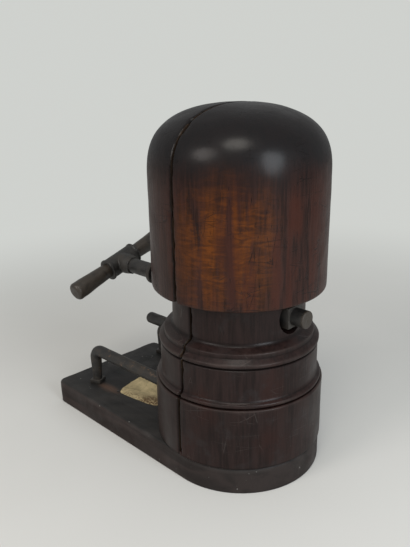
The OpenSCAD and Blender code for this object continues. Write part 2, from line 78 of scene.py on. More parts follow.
class HatFormWood(bpy.types.PropertyGroup):
    crown_dark: FloatVectorProperty(
        name="Crown brown", description="Main colour of the crown", subtype="COLOR", size=3,
        min=0, max=1, default=(0.020, 0.0075, 0.0055))
    crown_amber: FloatVectorProperty(
        name="Crown amber", description="Colour of the rubbed, figured wood at the front of the crown",
        subtype="COLOR", size=3, min=0, max=1, default=(0.125, 0.034, 0.0032))
    pedestal_brown: FloatVectorProperty(
        name="Pedestal brown", description="Main colour of the turned pedestal", subtype="COLOR", size=3,
        min=0, max=1, default=(0.0145, 0.0078, 0.0070))
    board_black: FloatVectorProperty(
        name="Board black", description="Colour of the board's grimy top", subtype="COLOR", size=3,
        min=0, max=1, default=(0.016, 0.0155, 0.0150))
    board_side: FloatVectorProperty(
        name="Board side", description="Colour of the board's rubbed sides", subtype="COLOR", size=3,
        min=0, max=1, default=(0.032, 0.022, 0.020))
    turning_steps: IntProperty(
        name="Turning steps", description="Segments round the turned wood", default=240, min=48, max=480)
    chip_depth: FloatProperty(
        name="Chip depth", description="How deep the sawn edges are chipped", default=0.0016,
        min=0, max=0.004, unit="LENGTH")
    dent_depth: FloatProperty(
        name="Dent depth", description="How uneven the worn surfaces are", default=0.00035,
        min=0, max=0.002, unit="LENGTH")


class HatFormIron(bpy.types.PropertyGroup):
    black_iron: FloatVectorProperty(
        name="Black iron", description="Colour of the blackened iron", subtype="COLOR", size=3,
        min=0, max=1, default=(0.014, 0.013, 0.012))
    rubbed_iron: FloatVectorProperty(
        name="Rubbed iron", description="Colour where hands have rubbed the iron", subtype="COLOR", size=3,
        min=0, max=1, default=(0.034, 0.026, 0.019))
    rust: FloatVectorProperty(
        name="Rust", description="Colour of the rust on the rods", subtype="COLOR", size=3,
        min=0, max=1, default=(0.20, 0.12, 0.07))
    hammer_depth: FloatProperty(
        name="Hammer depth", description="How uneven the forged surfaces are", default=0.00014,
        min=0, max=0.001, unit="LENGTH")
    thread_pitch: FloatProperty(
        name="Thread pitch", description="Distance from one turn of the thread to the next", default=0.004,
        min=0.002, max=0.008, unit="LENGTH")


class HatFormPaper(bpy.types.PropertyGroup):
    cream: FloatVectorProperty(
        name="Cream", description="Colour of the clean paper", subtype="COLOR", size=3,
        min=0, max=1, default=(0.60, 0.49, 0.28))
    stain: FloatVectorProperty(
        name="Stain", description="Colour of the stained and torn paper", subtype="COLOR", size=3,
        min=0, max=1, default=(0.11, 0.055, 0.025))


class HatFormStage(bpy.types.PropertyGroup):
    backdrop: FloatVectorProperty(
        name="Backdrop", description="Colour seen behind the form", subtype="COLOR", size=3,
        min=0, max=1, default=(0.625, 0.640, 0.615))
    floor: FloatVectorProperty(
        name="Floor", description="Colour of the floor", subtype="COLOR", size=3,
        min=0, max=1, default=(0.66, 0.66, 0.64))
    room_light: FloatProperty(
        name="Room light", description="Strength of the light from all round", default=0.42, min=0, max=2)
    lamp_light: FloatProperty(
        name="Lamp light", description="Strength of the three soft lamps", default=1.0, min=0, max=5)


# Bench for laying out one material

class Finish:
    """One node material under construction."""

    def __init__(self, name, roughness=0.5, specular=0.5, metallic=0.0, coat=0.0, coat_roughness=0.3):
        self.material = bpy.data.materials.new(name)
        self.material.use_nodes = True
        self.tree = self.material.node_tree
        self.tree.nodes.clear()
        self.output = self.tree.nodes.new("ShaderNodeOutputMaterial")
        self.shader = self.tree.nodes.new("ShaderNodeBsdfPrincipled")
        self.tree.links.new(self.shader.outputs[0], self.output.inputs[0])
        self.shader.inputs["Roughness"].default_value = roughness
        self.shader.inputs["Specular IOR Level"].default_value = specular
        self.shader.inputs["Metallic"].default_value = metallic
        self.shader.inputs["Coat Weight"].default_value = coat
        self.shader.inputs["Coat Roughness"].default_value = coat_roughness
        self.place = self.tree.nodes.new("ShaderNodeTexCoord").outputs["Object"]

    def plug(self, socket, value):
        if isinstance(value, bpy.types.NodeSocket):
            self.tree.links.new(value, socket)
        elif socket.type == "RGBA" and len(value) == 3:
            socket.default_value = (*value, 1.0)
        else:
            socket.default_value = value

    def node(self, kind, plugs, out=0, **settings):
        made = self.tree.nodes.new(kind)
        for key, value in settings.items():
            setattr(made, key, value)
        for key, value in plugs.items():
            self.plug(made.inputs[key], value)
        return made.outputs[out]

    def stretched(self, x, y, z, turn=(0, 0, 0), shift=(0, 0, 0)):
        return self.node("ShaderNodeMapping", {
            "Vector": self.place, "Location": shift, "Rotation": [math.radians(a) for a in turn],
            "Scale": (x, y, z)})

    def cloud(self, vector, scale, detail=4.0, rough=0.55, warp=0.0):
        return self.node("ShaderNodeTexNoise", {
            "Vector": vector, "Scale": scale, "Detail": detail, "Roughness": rough, "Distortion": warp})

    def cells(self, vector, scale, feature="F1", spread=1.0):
        return self.node("ShaderNodeTexVoronoi", {
            "Vector": vector, "Scale": scale, "Randomness": spread}, feature=feature)

    def between(self, value, low, high, out_low=0.0, out_high=1.0):
        return self.node("ShaderNodeMapRange", {
            "Value": value, "From Min": low, "From Max": high, "To Min": out_low, "To Max": out_high},
            interpolation_type="SMOOTHSTEP")

    def sum(self, first, second, operation="ADD"):
        return self.node("ShaderNodeMath", {0: first, 1: second}, operation=operation)

    def times(self, first, second):
        return self.sum(first, second, "MULTIPLY")

    def axis(self, letter):
        return self.node("ShaderNodeSeparateXYZ", {0: self.place}, out="XYZ".index(letter))

    def near(self, centre, reach, soft):
        """One at the centre, falling to nothing at the reach, measured with each axis weighed."""
        away = self.node("ShaderNodeVectorMath", {0: self.place, 1: centre}, operation="SUBTRACT")
        weighed = self.node("ShaderNodeVectorMath", {
            0: away, 1: tuple(1 / r for r in reach)}, operation="MULTIPLY")
        length = self.node("ShaderNodeVectorMath", {0: weighed}, out="Value", operation="LENGTH")
        return self.between(length, 1.0 - soft, 1.0 + soft, 1.0, 0.0)

    def blend(self, amount, first, second, kind="MIX"):
        return self.node("ShaderNodeMix", {"Factor": amount, 6: first, 7: second}, out=2,
                         data_type="RGBA", blend_type=kind)

    def colour(self, value):
        self.plug(self.shader.inputs["Base Color"], value)

    def roughness(self, value):
        self.plug(self.shader.inputs["Roughness"], value)

    def relief(self, *layers):
        """Stacks bumps, each a height, its depth in metres and its strength."""
        normal = None
        for height, depth, strength in layers:
            plugs = {"Height": height, "Distance": depth, "Strength": strength}
            if normal is not None:
                plugs["Normal"] = normal
            normal = self.node("ShaderNodeBump", plugs)
        self.plug(self.shader.inputs["Normal"], normal)


def wear_and_highlight_mask(finish):
    """Lighter corners painted on a piece while it was modelled: worn places, and on some pieces a painted highlight
    along rounded edges.
    """
    return finish.node("ShaderNodeAttribute", {}, out="Fac", attribute_name="wear_and_highlight")


def wood_figure(finish, seed):
    """Upright fibres, pores and scratches shared by the turned wood."""
    fibre = finish.cloud(finish.stretched(1, 1, 0.07, shift=(seed, 0, 0)), 420, 5, 0.6, 0.4)
    bands = finish.cloud(finish.stretched(1, 1, 0.12, shift=(seed, 1, 0)), 70, 3, 0.5, 0.8)
    pores = finish.between(finish.cloud(finish.stretched(1, 1, 0.16, shift=(seed, 2, 0)), 620, 2, 0.4), 0.66, 0.78)
    blotch = finish.cloud(finish.stretched(1, 1, 1, shift=(seed, 3, 0)), 26, 4, 0.6, 0.5)
    scratch_a = finish.between(
        finish.cells(finish.stretched(1, 1, 0.12, (24, 9, 0), (seed, 0, 0)), 130, "DISTANCE_TO_EDGE"), 0.0, 0.018, 1, 0)
    scratch_b = finish.between(
        finish.cells(finish.stretched(0.2, 0.2, 1.2, (-14, 12, 31), (seed, 4, 0)), 75, "DISTANCE_TO_EDGE"),
        0.0, 0.014, 1, 0)
    gate = finish.between(finish.cloud(finish.stretched(1, 1, 1, shift=(seed, 5, 0)), 38, 2), 0.52, 0.66)
    scratches = finish.times(finish.sum(scratch_a, scratch_b, "MAXIMUM"), gate)
    return fibre, bands, pores, blotch, scratches


def polished_crown_finish(look):
    finish = Finish("polished_crown_wood", coat=0.28, coat_roughness=0.26, specular=0.06)
    fibre, bands, pores, blotch, scratches = wood_figure(finish, 3.0)
    top = finish.between(finish.sum(finish.axis("Z"), finish.times(blotch, 0.03)), 0.306, 0.352)
    dark = finish.blend(finish.between(bands, 0.35, 0.65), tuple(0.62 * c for c in look.crown_dark),
                        tuple(1.5 * c for c in look.crown_dark))
    dark = finish.blend(finish.between(fibre, 0.4, 0.62, 0.0, 0.55), dark, tuple(2.4 * c for c in look.crown_dark))
    # Amber wood where the polish is rubbed, with curly cross grain low down
    curl = finish.cloud(finish.stretched(0.25, 0.25, 1.0, (18, -14, 8)), 170, 4, 0.55, 1.6)
    streak = finish.cloud(finish.stretched(1, 1, 0.10, shift=(7, 0, 0)), 62, 3, 0.6, 0.9)
    amber_place = finish.near((0.048, -0.073, 0.252), (0.046, 0.034, 0.062), 0.62)
    amber_amount = finish.times(amber_place, finish.between(finish.sum(
        finish.times(streak, 0.82), finish.times(curl, 0.22)), 0.38, 0.66))
    amber_tone = finish.blend(finish.between(curl, 0.32, 0.68), tuple(0.52 * c for c in look.crown_amber),
                              look.crown_amber)
    tone = finish.blend(amber_amount, dark, amber_tone)
    red_place = finish.near((0.074, -0.038, 0.245), (0.052, 0.055, 0.075), 0.5)
    tone = finish.blend(finish.times(red_place, finish.between(bands, 0.42, 0.6, 0.0, 0.6)), tone,
                        (0.045, 0.0105, 0.005))
    # Greyer towards the left and the moving half: a painted sheen of reflected room light, broken by blotches.
    crown_sheen_side = finish.between(finish.axis("X"), -0.030, 0.012, 0.55, 0.0)
    tone = finish.blend(finish.times(crown_sheen_side, blotch), tone, (0.050, 0.040, 0.037))
    tone = finish.blend(finish.times(top, 0.93), tone, (0.0062, 0.0060, 0.0066))
    tone = finish.blend(finish.times(pores, 0.7), tone, (0.004, 0.002, 0.002))
    tone = finish.blend(finish.times(scratches, 0.75), tone, (0.006, 0.004, 0.004))
    tone = finish.blend(finish.times(wear_and_highlight_mask(finish), 0.5), tone, (0.035, 0.018, 0.013))
    # Darker beside the sawn face: painted shade of the gap between the halves.
    shade_and_grime = finish.node("ShaderNodeAttribute", {}, out="Fac", attribute_name="shade_and_grime")
    tone = finish.blend(shade_and_grime, tone, (0.0035, 0.0020, 0.0017))
    finish.colour(tone)
    finish.roughness(finish.sum(finish.between(blotch, 0.35, 0.7, 0.34, 0.52), finish.times(top, 0.10)))
    finish.relief((blotch, 0.0018, 0.35), (fibre, 0.00045, 0.8), (pores, -0.0005, 0.8),
                  (scratches, -0.0006, 0.9))
    return finish.material


def waxed_pedestal_finish(look):
    finish = Finish("waxed_pedestal_wood", coat=0.22, coat_roughness=0.29, specular=0.07)
    fibre, bands, pores, blotch, scratches = wood_figure(finish, 11.0)
    dark = finish.blend(finish.between(bands, 0.38, 0.62), tuple(0.72 * c for c in look.pedestal_brown),
                        tuple(1.35 * c for c in look.pedestal_brown))
    dark = finish.blend(finish.between(fibre, 0.42, 0.6, 0.0, 0.4), dark,
                        tuple(2.0 * c for c in look.pedestal_brown))
    red = finish.between(finish.cloud(finish.stretched(1, 1, 0.5, shift=(4, 4, 0)), 22, 3), 0.52, 0.68, 0.0, 0.6)
    tone = finish.blend(red, dark, (0.026, 0.0085, 0.0062))
    dust = finish.between(finish.cloud(finish.stretched(1, 1, 1, shift=(9, 2, 0)), 48, 5, 0.65), 0.5, 0.72, 0.0, 0.55)
    tone = finish.blend(dust, tone, (0.025, 0.021, 0.021))
    # Greyer towards the left: a painted sheen of reflected room light.
    pedestal_sheen_side = finish.between(finish.axis("X"), -0.060, 0.004, 0.6, 0.0)
    tone = finish.blend(pedestal_sheen_side, tone, (0.050, 0.040, 0.036))
    tone = finish.blend(finish.times(pores, 0.6), tone, (0.005, 0.003, 0.003))
    tone = finish.blend(finish.times(scratches, 0.5), tone, (0.070, 0.055, 0.050))
    # Lighter edge bands: painted highlights along the rounded edges, partly worn wood.
    tone = finish.blend(finish.times(wear_and_highlight_mask(finish), 0.75), tone, (0.060, 0.044, 0.039))
    # Darker beside the sawn face, in the grooves and at the foot: painted shade, with some dirt on the ledge under the
    # neck.
    shade_and_grime = finish.node("ShaderNodeAttribute", {}, out="Fac", attribute_name="shade_and_grime")
    tone = finish.blend(shade_and_grime, tone, (0.0045, 0.0022, 0.0018))
    finish.colour(tone)
    finish.roughness(finish.between(blotch, 0.35, 0.7, 0.40, 0.60))
    finish.relief((blotch, 0.0010, 0.25), (fibre, 0.00016, 0.5), (pores, -0.0002, 0.6),
                  (scratches, -0.0003, 0.7))
    return finish.material


def sawn_wood_finish():
    finish = Finish("sawn_wood", roughness=0.78, specular=0.3)
    fibre = finish.cloud(finish.stretched(1, 1, 0.06), 500, 4, 0.6)
    marks = finish.cloud(finish.stretched(0.1, 0.3, 1.0, (12, 0, 0)), 330, 3, 0.5)
    stain = finish.cloud(finish.place, 20, 4, 0.6)
    tone = finish.blend(finish.between(fibre, 0.35, 0.65), (0.026, 0.015, 0.009), (0.066, 0.040, 0.024))
    tone = finish.blend(finish.between(stain, 0.4, 0.7, 0.0, 0.7), tone, (0.014, 0.009, 0.007))
    finish.colour(tone)
    finish.relief((marks, 0.0004, 0.5), (fibre, 0.0002, 0.5))
    return finish.material


def bare_dowel_finish():
    finish = Finish("bare_dowel_wood", roughness=0.7, specular=0.3)
    fibre = finish.cloud(finish.stretched(1, 1, 0.05), 700, 4, 0.6)
    finish.colour(finish.blend(finish.between(fibre, 0.35, 0.65), (0.26, 0.15, 0.07), (0.46, 0.30, 0.16)))
    finish.relief((fibre, 0.0002, 0.5))
    return finish.material


def grimy_board_finish(look):
    finish = Finish("grimy_board_wood", specular=0.20)
    fibre = finish.cloud(finish.stretched(0.06, 1, 1), 420, 5, 0.6, 0.3)
    bands = finish.cloud(finish.stretched(0.10, 1, 1), 60, 3, 0.5, 0.7)
    blotch = finish.cloud(finish.place, 30, 5, 0.62, 0.4)
    height = finish.axis("Z")
    up = finish.between(height, 0.0262, 0.0281)
    side = finish.blend(finish.between(bands, 0.36, 0.64), tuple(0.6 * c for c in look.board_side),
                        tuple(1.25 * c for c in look.board_side))
    side = finish.blend(finish.between(finish.axis("X"), -0.05, 0.06, 0.0, 0.55), side, (0.020, 0.0175, 0.0165))
    top = finish.blend(finish.between(bands, 0.35, 0.65), tuple(0.75 * c for c in look.board_black),
                       tuple(1.3 * c for c in look.board_black))
    dust = finish.between(blotch, 0.50, 0.72, 0.0, 0.6)
    top = finish.blend(dust, top, (0.034, 0.036, 0.038))
    tone = finish.blend(up, side, top)
    rub = finish.near((-0.165, -0.049, 0.0285), (0.016, 0.006, 0.02), 0.6)
    tone = finish.blend(finish.times(rub, finish.between(bands, 0.3, 0.6)), tone, (0.085, 0.050, 0.035))
    # Lighter rounded top edge: worn wood and a painted highlight.
    tone = finish.blend(finish.times(wear_and_highlight_mask(finish), 0.75), tone, (0.052, 0.046, 0.043))
    # Pale specks of paint low on the round end
    flecks = finish.between(finish.cells(finish.place, 210), 0.10, 0.19, 1, 0)
    sparse = finish.between(finish.cloud(finish.stretched(1, 1, 1, shift=(2, 8, 0)), 60, 2), 0.60, 0.67)
    tone = finish.blend(finish.times(finish.times(flecks, sparse), 0.75), tone, (0.30, 0.30, 0.28))
    finish.colour(tone)
    finish.roughness(finish.between(blotch, 0.35, 0.7, 0.48, 0.72))
    finish.relief((blotch, 0.0012, 0.35), (bands, 0.0006, 0.25), (fibre, 0.00025, 0.55))
    return finish.material


def old_iron_finish(name, look, rub=0.3, rust=0.2, rough=0.5):
    """Blackened iron with hand-rubbed bronze-brown patches and rust."""
    finish = Finish(name, specular=0.5, metallic=0.0)
    blotch = finish.cloud(finish.place, 75, 5, 0.62, 0.4)
    grain = finish.cloud(finish.place, 900, 4, 0.6)
    pits = finish.between(finish.cells(finish.place, 520), 0.10, 0.26, 1, 0)
    tone = finish.blend(finish.between(blotch, 0.40, 0.66, 0.0, 1.0), look.black_iron,
                        tuple(2.2 * c for c in look.black_iron))
    rubbed = finish.between(finish.sum(blotch, finish.times(grain, 0.25)), 0.70 - 0.35 * rub, 0.92 - 0.35 * rub)
    tone = finish.blend(finish.times(rubbed, min(1.0, 0.35 + rub)), tone, look.rubbed_iron)
    rusty = finish.between(finish.cloud(finish.stretched(1, 1, 1, shift=(3, 3, 3)), 120, 5, 0.68),
                           0.72 - 0.3 * rust, 0.86 - 0.3 * rust)
    tone = finish.blend(finish.times(rusty, min(1.0, 0.3 + rust)), tone, look.rust)
    tone = finish.blend(finish.times(wear_and_highlight_mask(finish), 0.8), tone, tuple(1.15 * c for c in look.rubbed_iron))
    tone = finish.blend(finish.times(pits, 0.5), tone, (0.006, 0.005, 0.004))
    finish.colour(tone)
    finish.roughness(finish.between(blotch, 0.35, 0.7, rough - 0.08, rough + 0.16))
    finish.relief((blotch, 0.0005, 0.4), (grain, 0.00012, 0.5), (pits, -0.00015, 0.6))
    return finish.material


def stained_paper_finish(look):
    finish = Finish("stained_paper", roughness=0.85, specular=0.2)
    blotch = finish.cloud(finish.place, 70, 5, 0.68, 0.5)
    fine = finish.cloud(finish.place, 420, 4, 0.7)
    creases = finish.between(finish.cells(finish.stretched(1, 0.5, 1, (0, 0, 25)), 60, "DISTANCE_TO_EDGE"),
                             0.0, 0.03, 1, 0)
    tone = finish.blend(finish.between(blotch, 0.35, 0.7), look.cream, tuple(0.62 * c for c in look.cream))
    tone = finish.blend(finish.between(fine, 0.55, 0.75, 0.0, 0.5), tone, tuple(0.45 * c for c in look.cream))
    torn = finish.near((-0.104, -0.036, 0.0287), (0.014, 0.010, 0.02), 0.7)
    torn = finish.times(torn, finish.between(fine, 0.36, 0.56))
    tone = finish.blend(torn, tone, look.stain)
    edge = finish.near((-0.117, -0.043, 0.0287), (0.040, 0.007, 0.02), 0.6)
    tone = finish.blend(finish.times(edge, finish.between(fine, 0.5, 0.6, 0.0, 0.8)), tone, look.stain)
    tone = finish.blend(finish.times(creases, 0.35), tone, tuple(0.35 * c for c in look.cream))
    tone = finish.blend(finish.times(wear_and_highlight_mask(finish), 0.6), tone, look.stain)
    finish.colour(tone)
    finish.relief((blotch, 0.0004, 0.5), (creases, -0.0002, 0.5), (fine, 0.00008, 0.6))
    return finish.material


def backdrop_finish(look):
    """Floor that fades into the backdrop's colour away from the form."""
    finish = Finish("pale_floor", roughness=0.75, specular=0.15)
    haze = finish.cloud(finish.place, 3.0, 3)
    finish.colour(finish.blend(finish.between(haze, 0.3, 0.7), look.floor, tuple(0.97 * c for c in look.floor)))
    glow = finish.node("ShaderNodeEmission", {"Color": tuple(look.backdrop), "Strength": 1.0})
    flat = finish.node("ShaderNodeVectorMath", {0: finish.place}, out="Value", operation="LENGTH")
    far = finish.between(flat, 0.30, 1.05)
    seen = finish.node("ShaderNodeLightPath", {}, out="Is Camera Ray")
    mixed = finish.node("ShaderNodeMixShader", {
        0: finish.times(far, seen), 1: finish.shader.outputs[0], 2: glow})
    finish.tree.links.new(mixed, finish.output.inputs[0])
    return finish.material


# Modelling helpers

def smooth_noise(point, scale, seed):
    return noise.noise(Vector(point) * scale + Vector((seed, seed * 0.7, seed * 1.3)))


def vertex_paint_layer(bm, name="wear_and_highlight"):
    return bm.verts.layers.float.get(name) or bm.verts.layers.float.new(name)


def split_long(points, longest):
    """Adds points along an outline's long straight stretches."""
    split = points[:1]
    for (x0, y0), (x1, y1) in zip(points, points[1:]):
        parts = 1 + int(math.hypot(x1 - x0, y1 - y0) / longest)
        split += [(x0 + (x1 - x0) * i / parts, y0 + (y1 - y0) * i / parts) for i in range(1, parts + 1)]
    return split


def turned(outline, steps, axis="Z", longest=0.0016):
    """Spins an outline of (radius, distance) pairs about an axis into a closed solid."""
    bm = bmesh.new()
    points = outline[:1] + split_long(outline[1:-1], longest) + outline[-1:]
    verts = [bm.verts.new((r, 0, d)) for r, d in points]
    for pair in zip(verts, verts[1:]):
        bm.edges.new(pair)
    bmesh.ops.spin(bm, geom=bm.verts[:] + bm.edges[:], cent=(0, 0, 0), axis=(0, 0, 1), dvec=(0, 0, 0),
                   angle=2 * math.pi, steps=steps, use_merge=True, use_duplicate=False)
    bmesh.ops.remove_doubles(bm, verts=bm.verts, dist=1e-6)
    if axis == "X":
        bmesh.ops.rotate(bm, verts=bm.verts, cent=(0, 0, 0), matrix=Matrix.Rotation(math.pi / 2, 3, "Y"))
    bmesh.ops.recalc_face_normals(bm, faces=bm.faces)
    return bm


def arc(centre, radius, start, stop, steps=5):
    """Outline points of a rounded corner."""
    return [(centre[0] + radius * math.cos(math.radians(start + (stop - start) * i / steps)),
             centre[1] + radius * math.sin(math.radians(start + (stop - start) * i / steps)))
            for i in range(steps + 1)]


def draw_out(bm, ring, move, times=1, scale=1.0):
    """Extrudes a ring of edges several times, and returns the last ring."""
    for _ in range(times):
        made = bmesh.ops.extrude_edge_only(bm, edges=ring)["geom"]
        verts = [g for g in made if isinstance(g, bmesh.types.BMVert)]
        ring = [g for g in made if isinstance(g, bmesh.types.BMEdge) and g.is_boundary]
        bmesh.ops.translate(bm, verts=verts, vec=move)
        if scale != 1.0:
            centre = sum((v.co for v in verts), Vector()) / len(verts)
            bmesh.ops.scale(bm, verts=verts, vec=(scale, scale, scale), space=Matrix.Translation(-centre))
    return ring


def cap_ring(bm, ring):
    bmesh.ops.edgeloop_fill(bm, edges=ring)


def rough_up(bm, depth, scale, seed, keep=None, most=1.0):
    """Moves every corner a little along its normal, and no farther out than most allows."""
    bm.normal_update()
    moves = [(v, v.normal * depth * min(most, smooth_noise(v.co, scale, seed)
                                        + 0.5 * smooth_noise(v.co, scale * 3, seed + 5)))
             for v in bm.verts if keep is None or not keep(v)]
    for vert, move in moves:
        vert.co += move


def shade(bm, sharp):
    """Shades a mesh smooth, but for its corners above an angle."""
    for edge in bm.edges:
        edge.smooth = edge.calc_face_angle(0.0) < math.radians(sharp)
    for face in bm.faces:
        face.smooth = True


def settle(name, bm, finishes, body, nodes, sharp=38):
    """Makes the finished mesh an object that rides on its body and stands for its nodes."""
    bmesh.ops.remove_doubles(bm, verts=bm.verts, dist=1e-7)
    shade(bm, sharp)
    mesh = bpy.data.meshes.new(name)
    bm.to_mesh(mesh)
    bm.free()
    for finish in finishes:
        mesh.materials.append(finish)
    piece = bpy.data.objects.new(name, mesh)
    bpy.context.scene.collection.objects.link(piece)
    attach(piece, body)
    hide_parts(*nodes)
    return piece


def bored(piece, cutter_bm, name, sharp=38):
    """Cuts a set of bores out of a piece and keeps the result as its mesh."""
    cutter_mesh = bpy.data.meshes.new(name)
    cutter_bm.to_mesh(cutter_mesh)
    cutter_bm.free()
    cutter = bpy.data.objects.new(name, cutter_mesh)
    bpy.context.scene.collection.objects.link(cutter)
    cut = piece.modifiers.new("bores", "BOOLEAN")
    cut.operation = "DIFFERENCE"
    cut.solver = "EXACT"
    cut.object = cutter
    bpy.context.view_layer.update()
    seen = piece.evaluated_get(bpy.context.evaluated_depsgraph_get())
    result = bpy.data.meshes.new_from_object(seen)
    piece.modifiers.clear()
    old = piece.data
    piece.data = result
    bpy.data.meshes.remove(old)
    result.name = piece.name
    bpy.data.objects.remove(cutter)
    bpy.data.meshes.remove(cutter_mesh)
    bm = bmesh.new()
    bm.from_mesh(result)
    shade(bm, sharp)
    bm.to_mesh(result)
    bm.free()


def dress_node(node, finish):
    """Gives a carried-over node a new finish."""
    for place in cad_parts[node].material_slots:
        place.material = finish


def bore_along_x(start, stop, y, z, radius):
    bm = turned([(0, start), (radius, start), (radius, stop), (0, stop)], 64, "X", 1.0)
    bmesh.ops.translate(bm, verts=bm.verts, vec=(0, y, z))
    return bm


def add_in(bm, other):
    """Pours one bmesh into another."""
    carrier = bpy.data.meshes.new("carrier")
    other.to_mesh(carrier)
    other.free()
    bm.from_mesh(carrier)
    bpy.data.meshes.remove(carrier)


# Turned wood, in millimetres before it is scaled

def pedestal_outline(look):
    """Outline of the pedestal, from the axis at the board up to the axis at the crown."""
    base = BOARD_TOP / MM
    foot = CROWN_FOOT / MM
    side = CROWN_HIGH[0] / MM - 0.4
    drum = base + 65.9
    bead = drum + 5.6
    waist = bead + 33.4
    groove = waist + 2.6
    lip = groove + 8.0
    band = lip + 4.6
    neck = band + 4.8
    core = side - 1.8 - 5.6 / 3
    points = [(0, base), (side - 1.0, base), (side, base + 1.0)]
    points += arc((side - 1.5, drum - 1.5), 1.5, 0, 90)
    points += [(core - 0.9, drum + 0.1)]
    points += [(core + 5.6 / 3 * math.cos(math.radians(a)), drum + 2.8 + 2.4 * math.sin(math.radians(a)))
               for a in range(-80, 81, 16)]
    points += [(side - 5.0, bead + 0.9), (side - 5.9, bead + 3.2), (side - 5.9, waist - 0.4)]
    points += [(side - 6.6, waist + 0.4), (side - 7.8, waist + 1.1), (side - 7.8, groove - 0.8)]
    points += arc((side - 4.8 - 1.2, groove + 1.2), 1.2, -60, 0, 4)
    points += arc((side - 4.8 - 1.2, groove + 2.8), 1.2, 0, 50, 4)
    points += [(side - 10.0, lip - 0.1)]
    points += arc((side - 10.2 - 1.1, band - 1.1), 1.1, 0, 60, 4)
    points += [(side - 19.4 + 1.6, neck - 1.0), (side - 19.4, neck + 1.6), (side - 19.4, foot - 0.2)]
    points += [(0, foot - 0.2)]
    return [(r * MM, z * MM) for r, z in points]


def crown_outline(look):
    """Outline of the crown, from the axis at its foot over the dome to the axis at its top."""
    low, top, side = CROWN_FOOT / MM, CROWN_HIGH[2] / MM, CROWN_HIGH[0] / MM
    dome = 69.5
    points = [(0, low), (side - 22, low)]
    points += arc((side - 2.2, low + 2.2), 2.2, -90, 0, 5)
    steps = 64
    for i in range(steps):
        a = math.radians(90 * i / steps)
        points.append((side * math.cos(a) ** (2 / 2.27), top - dome + dome * math.sin(a) ** (2 / 3)))
    points.append((0, top))
    return [(r * MM, z * MM) for r, z in points]


def saw_in_two(bm, face_x, side, look, seed):
    """Keeps one side of a turned solid, with a chipped, slightly wandering sawn edge."""
    whole = bm.verts[:] + bm.edges[:] + bm.faces[:]
    bmesh.ops.bisect_plane(bm, geom=whole, dist=1e-7, plane_co=(face_x, 0, 0), plane_no=(side, 0, 0),
                           clear_inner=True)
    for depth in (0.0005, 0.0012, 0.0022, 0.0038, 0.006):
        whole = bm.verts[:] + bm.edges[:] + bm.faces[:]
        bmesh.ops.bisect_plane(bm, geom=whole, dist=1e-7, plane_co=(face_x + side * depth, 0, 0),
                               plane_no=(side, 0, 0))
    bm.normal_update()
    shade_and_grime = vertex_paint_layer(bm, "shade_and_grime")
    moves = []
    for vert in bm.verts:
        depth = (vert.co.x - face_x) * side
        if depth > 0.0065:
            continue
        near = max(0.0, 1 - depth / 0.0022) ** 2
        chip = max(0.0, smooth_noise(vert.co, 95, seed) - 0.05) * 2.2
        chip += max(0.0, smooth_noise(vert.co, 330, seed + 2) - 0.25) * 1.4
        broad = max(0.0, 1 - depth / 0.0055)
        inward = look.chip_depth * (near * (0.45 + 0.6 * chip) + 0.40 * broad * chip * chip)
        moves.append((vert, -vert.normal * inward))
        # Darkens the edges beside the sawn face: painted shade of the narrow gap between the halves.
        vert[shade_and_grime] = max(vert[shade_and_grime], min(1.0, near * 1.3))
    for vert, move in moves:
        vert.co += Vector((0, move.y, move.z))
    rim = [e for e in bm.edges if e.is_boundary]
    for face in bmesh.ops.holes_fill(bm, edges=rim, sides=0)["faces"]:
        face.material_index = 1
    bmesh.ops.recalc_face_normals(bm, faces=bm.faces)


def paint_turned_wear_and_shading(bm, heights, darks):
    """Paints lighter edge bands at some heights, worn wood with a painted highlight, and darker bands at others,
    painted shade in grooves and at the foot, with some dirt.
    """
    wear_and_highlight = vertex_paint_layer(bm)
    shade_and_grime = vertex_paint_layer(bm, "shade_and_grime")
    for vert in bm.verts:
        if math.hypot(vert.co.x, vert.co.y) < 0.060:
            continue
        for height, reach, radius, strength in heights:
            away = abs(vert.co.z - height) / reach
            if away < 1 and math.hypot(vert.co.x, vert.co.y) > radius:
                patch = 0.55 + 0.75 * smooth_noise(vert.co, 55, height * 900)
                vert[wear_and_highlight] = max(vert[wear_and_highlight], min(1.0, strength * (1 - away) * max(0.0, patch)))
        for height, reach, radius, strength in darks:
            away = abs(vert.co.z - height) / reach
            if away < 1 and math.hypot(vert.co.x, vert.co.y) < radius:
                vert[shade_and_grime] = max(vert[shade_and_grime], strength * (1 - away * away))


def crown_half(name, node, face_x, side, body, seed, look):
    bm = turned(crown_outline(look), look.turning_steps)
    low = CROWN_FOOT
    paint_turned_wear_and_shading(bm, [(low + 0.0012, 0.0022, 0.0862, 0.8)], [])
    for vert in bm.verts:
        lift = max(0.0, 1 - (vert.co.z - low) / 0.008)
        if lift > 0 and math.hypot(vert.co.x, vert.co.y) > 0.080:
            vert.co.z += lift * 0.0007 * max(0.0, smooth_noise(vert.co, 28, seed + 3) + 0.25)
    saw_in_two(bm, face_x, side, look, seed)
    rough_up(bm, look.dent_depth, 24, seed,
             keep=lambda v: v.co.z < low + 0.001 or (v.co.x - face_x) * side < 0.001)
    return settle(name, bm, [polished_crown, sawn_wood], body, [node])


